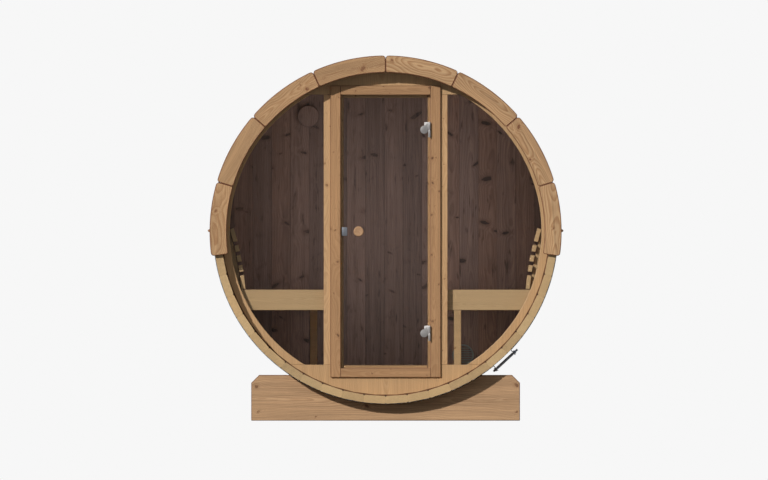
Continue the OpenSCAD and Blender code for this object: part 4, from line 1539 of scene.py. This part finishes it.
@dataclass
class Studio:
    """Pale floor and surroundings, lamps and camera."""

    barrel: Barrel
    sun_way: tuple[float, float, float] = (0.7, 1.0, -0.58)
    sun: float = 3.05
    rear_way: tuple[float, float, float] = (-0.65, -1.0, -0.75)
    rear: float = 2.4
    ambient: float = 0.38
    cabin_lamp: float = 4.3
    cabin_tint: tuple[float, float, float] = (0.97, 0.98, 1.03)
    cabin_lamp_size: tuple[float, float] = (1.1, 1.3)
    cabin_lamp_y: float = 0.34
    pale: float = 0.93
    card: float = 0.06
    card_edge: tuple[float, float] = (-0.97, -0.6)
    floor_seen: float = 0.3
    floor_bounce: float = 0.12
    floor_glow: float = 0.58
    floor_size: float = 9.0
    floor_sides: int = 96
    floor_drop: float = 0.5 * MM
    floor_roughness: float = 0.9
    sky_tint: tuple[float, float, float, float] = (0.92, 0.96, 1.0, 1.0)
    sun_tint: tuple[float, float, float] = (1.0, 0.985, 0.96)
    sun_spread: float = 1.5
    rear_spread: float = 25.0
    cabin_lamp_up: float = 50 * MM
    near_clip: float = 1.0
    distance: float = 8.0
    view_width: float = 4.467
    centre: tuple[float, float] = (-9.3 * MM, -49.4 * MM)

    def build_world(self) -> None:
        """Lights everything softly and shows a plain pale surrounding to the camera and to gloss."""
        world = bpy.data.worlds.new("studio")
        bpy.context.scene.world = world
        world.use_nodes = True
        world.node_tree.nodes.clear()
        g = Graph(world.node_tree)
        path = g.add("ShaderNodeLightPath").outputs
        way = g.split(g.add("ShaderNodeTexCoord").outputs["Generated"])
        card = g.step(way[1], self.card_edge[0], self.card_edge[1], self.card, 1.0)
        shown = g.mix(path["Is Glossy Ray"], WHITE, g.grey(card))
        seen = g.math("MAXIMUM", path["Is Camera Ray"], path["Is Transmission Ray"])
        seen = g.math("MAXIMUM", seen, path["Is Glossy Ray"])
        soft = g.add("ShaderNodeBackground", {"Color": self.sky_tint, "Strength": self.ambient})
        shown = g.mix(1.0, shown, (self.pale,) * 3 + (1.0,), "MULTIPLY")
        plain = g.add("ShaderNodeBackground", {"Color": shown, "Strength": 1.0})
        mixed = g.add("ShaderNodeMixShader", {0: seen, 1: soft.outputs[0], 2: plain.outputs[0]})
        g.feed(g.add("ShaderNodeOutputWorld").inputs[0], mixed.outputs[0])

    def build_floor(self) -> None:
        """Lays a pale round floor that keeps the object's shadow."""
        bm = bmesh.new()
        bmesh.ops.create_circle(bm, cap_ends=True, radius=self.floor_size, segments=self.floor_sides)
        mesh = bpy.data.meshes.new("floor")
        bm.to_mesh(mesh)
        bm.free()
        floor = link(mesh, "studio_floor")
        floor.location.z = -self.floor_drop
        material, g, shader = new_material("studio_floor")
        shader.inputs["Roughness"].default_value = self.floor_roughness
        shader.inputs["Specular IOR Level"].default_value = 0.0
        path = g.add("ShaderNodeLightPath").outputs
        seen = g.math("MAXIMUM", path["Is Camera Ray"], path["Is Transmission Ray"])
        grey = g.mix(seen, (self.floor_bounce,) * 3 + (1.0,), (self.floor_seen,) * 3 + (1.0,))
        g.feed(shader.inputs["Base Color"], grey)
        glow = g.add("ShaderNodeEmission", {"Color": WHITE})
        g.feed(glow.inputs["Strength"], g.math("MULTIPLY", seen, self.floor_glow))
        both = g.add("ShaderNodeAddShader", {0: shader.outputs[0], 1: glow.outputs[0]})
        g.surface(both.outputs[0])
        mesh.materials.append(material)

    def lamp(self, name: str, way: Sequence[float], strength: float, spread: float,
             colour: tuple[float, float, float]) -> None:
        """Adds a sun.

        Args:
            name: its name.
            way: the way its light travels.
            strength: its strength.
            spread: its angle in degrees.
            colour: its colour.
        """
        data = bpy.data.lights.new(name, "SUN")
        data.energy = strength
        data.angle = math.radians(spread)
        data.color = colour
        lamp = bpy.data.objects.new(name, data)
        lamp.rotation_euler = Vector(way).to_track_quat("-Z", "Y").to_euler()
        bpy.context.scene.collection.objects.link(lamp)

    def build_lamps(self) -> None:
        """Adds the key sun from the front left, a soft one from behind and a lamp inside the cabin."""
        self.lamp("key_sun", self.sun_way, self.sun, self.sun_spread, self.sun_tint)
        self.lamp("rear_sun", self.rear_way, self.rear, self.rear_spread, WHITE[:3])
        data = bpy.data.lights.new("cabin_lamp", "AREA")
        data.shape = "RECTANGLE"
        data.size, data.size_y = self.cabin_lamp_size
        data.energy = self.cabin_lamp
        data.color = self.cabin_tint
        lamp = bpy.data.objects.new("cabin_lamp", data)
        lamp.location = (0, self.cabin_lamp_y, self.barrel.axis + self.cabin_lamp_up)
        lamp.rotation_euler = Vector((0, 1, 0)).to_track_quat("-Z", "Y").to_euler()
        lamp.visible_camera = lamp.visible_glossy = lamp.visible_transmission = False
        bpy.context.scene.collection.objects.link(lamp)

    def build_camera(self) -> None:
        """Adds a level camera without perspective straight in front of the door."""
        data = bpy.data.cameras.new("camera")
        data.type = "ORTHO"
        data.ortho_scale = self.view_width
        camera = bpy.data.objects.new("camera", data)
        across, up = self.centre
        camera.location = (across, -self.barrel.half_len - self.distance, self.barrel.axis + up)
        camera.rotation_euler = (QUARTER_TURN, 0, 0)
        data.clip_start, data.clip_end = self.near_clip, 10 * self.distance
        bpy.context.scene.collection.objects.link(camera)
        bpy.context.scene.camera = camera

    def build(self) -> None:
        """Sets up the whole studio."""
        bpy.context.scene.view_settings.view_transform = "Standard"
        self.build_world()
        self.build_floor()
        self.build_lamps()
        self.build_camera()


def main() -> None:
    """Builds the sauna around its frame and lights it."""
    logging.basicConfig(level=logging.INFO, format="%(name)s: %(message)s")
    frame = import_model()
    nodes = frame["nodes"]
    barrel = Barrel.from_frame(frame)
    arrays = ArrayTree()
    Studio(barrel).build()
    Shell(barrel, arrays).build(nodes)
    PaintedShadeRings(barrel, arrays).build()
    FrontWall(barrel).build(nodes)
    Door(barrel).build(nodes)
    RearWall(barrel).build()
    Interior(barrel, arrays).build()
    Cradles().build()


if __name__ == "__main__":
    main()
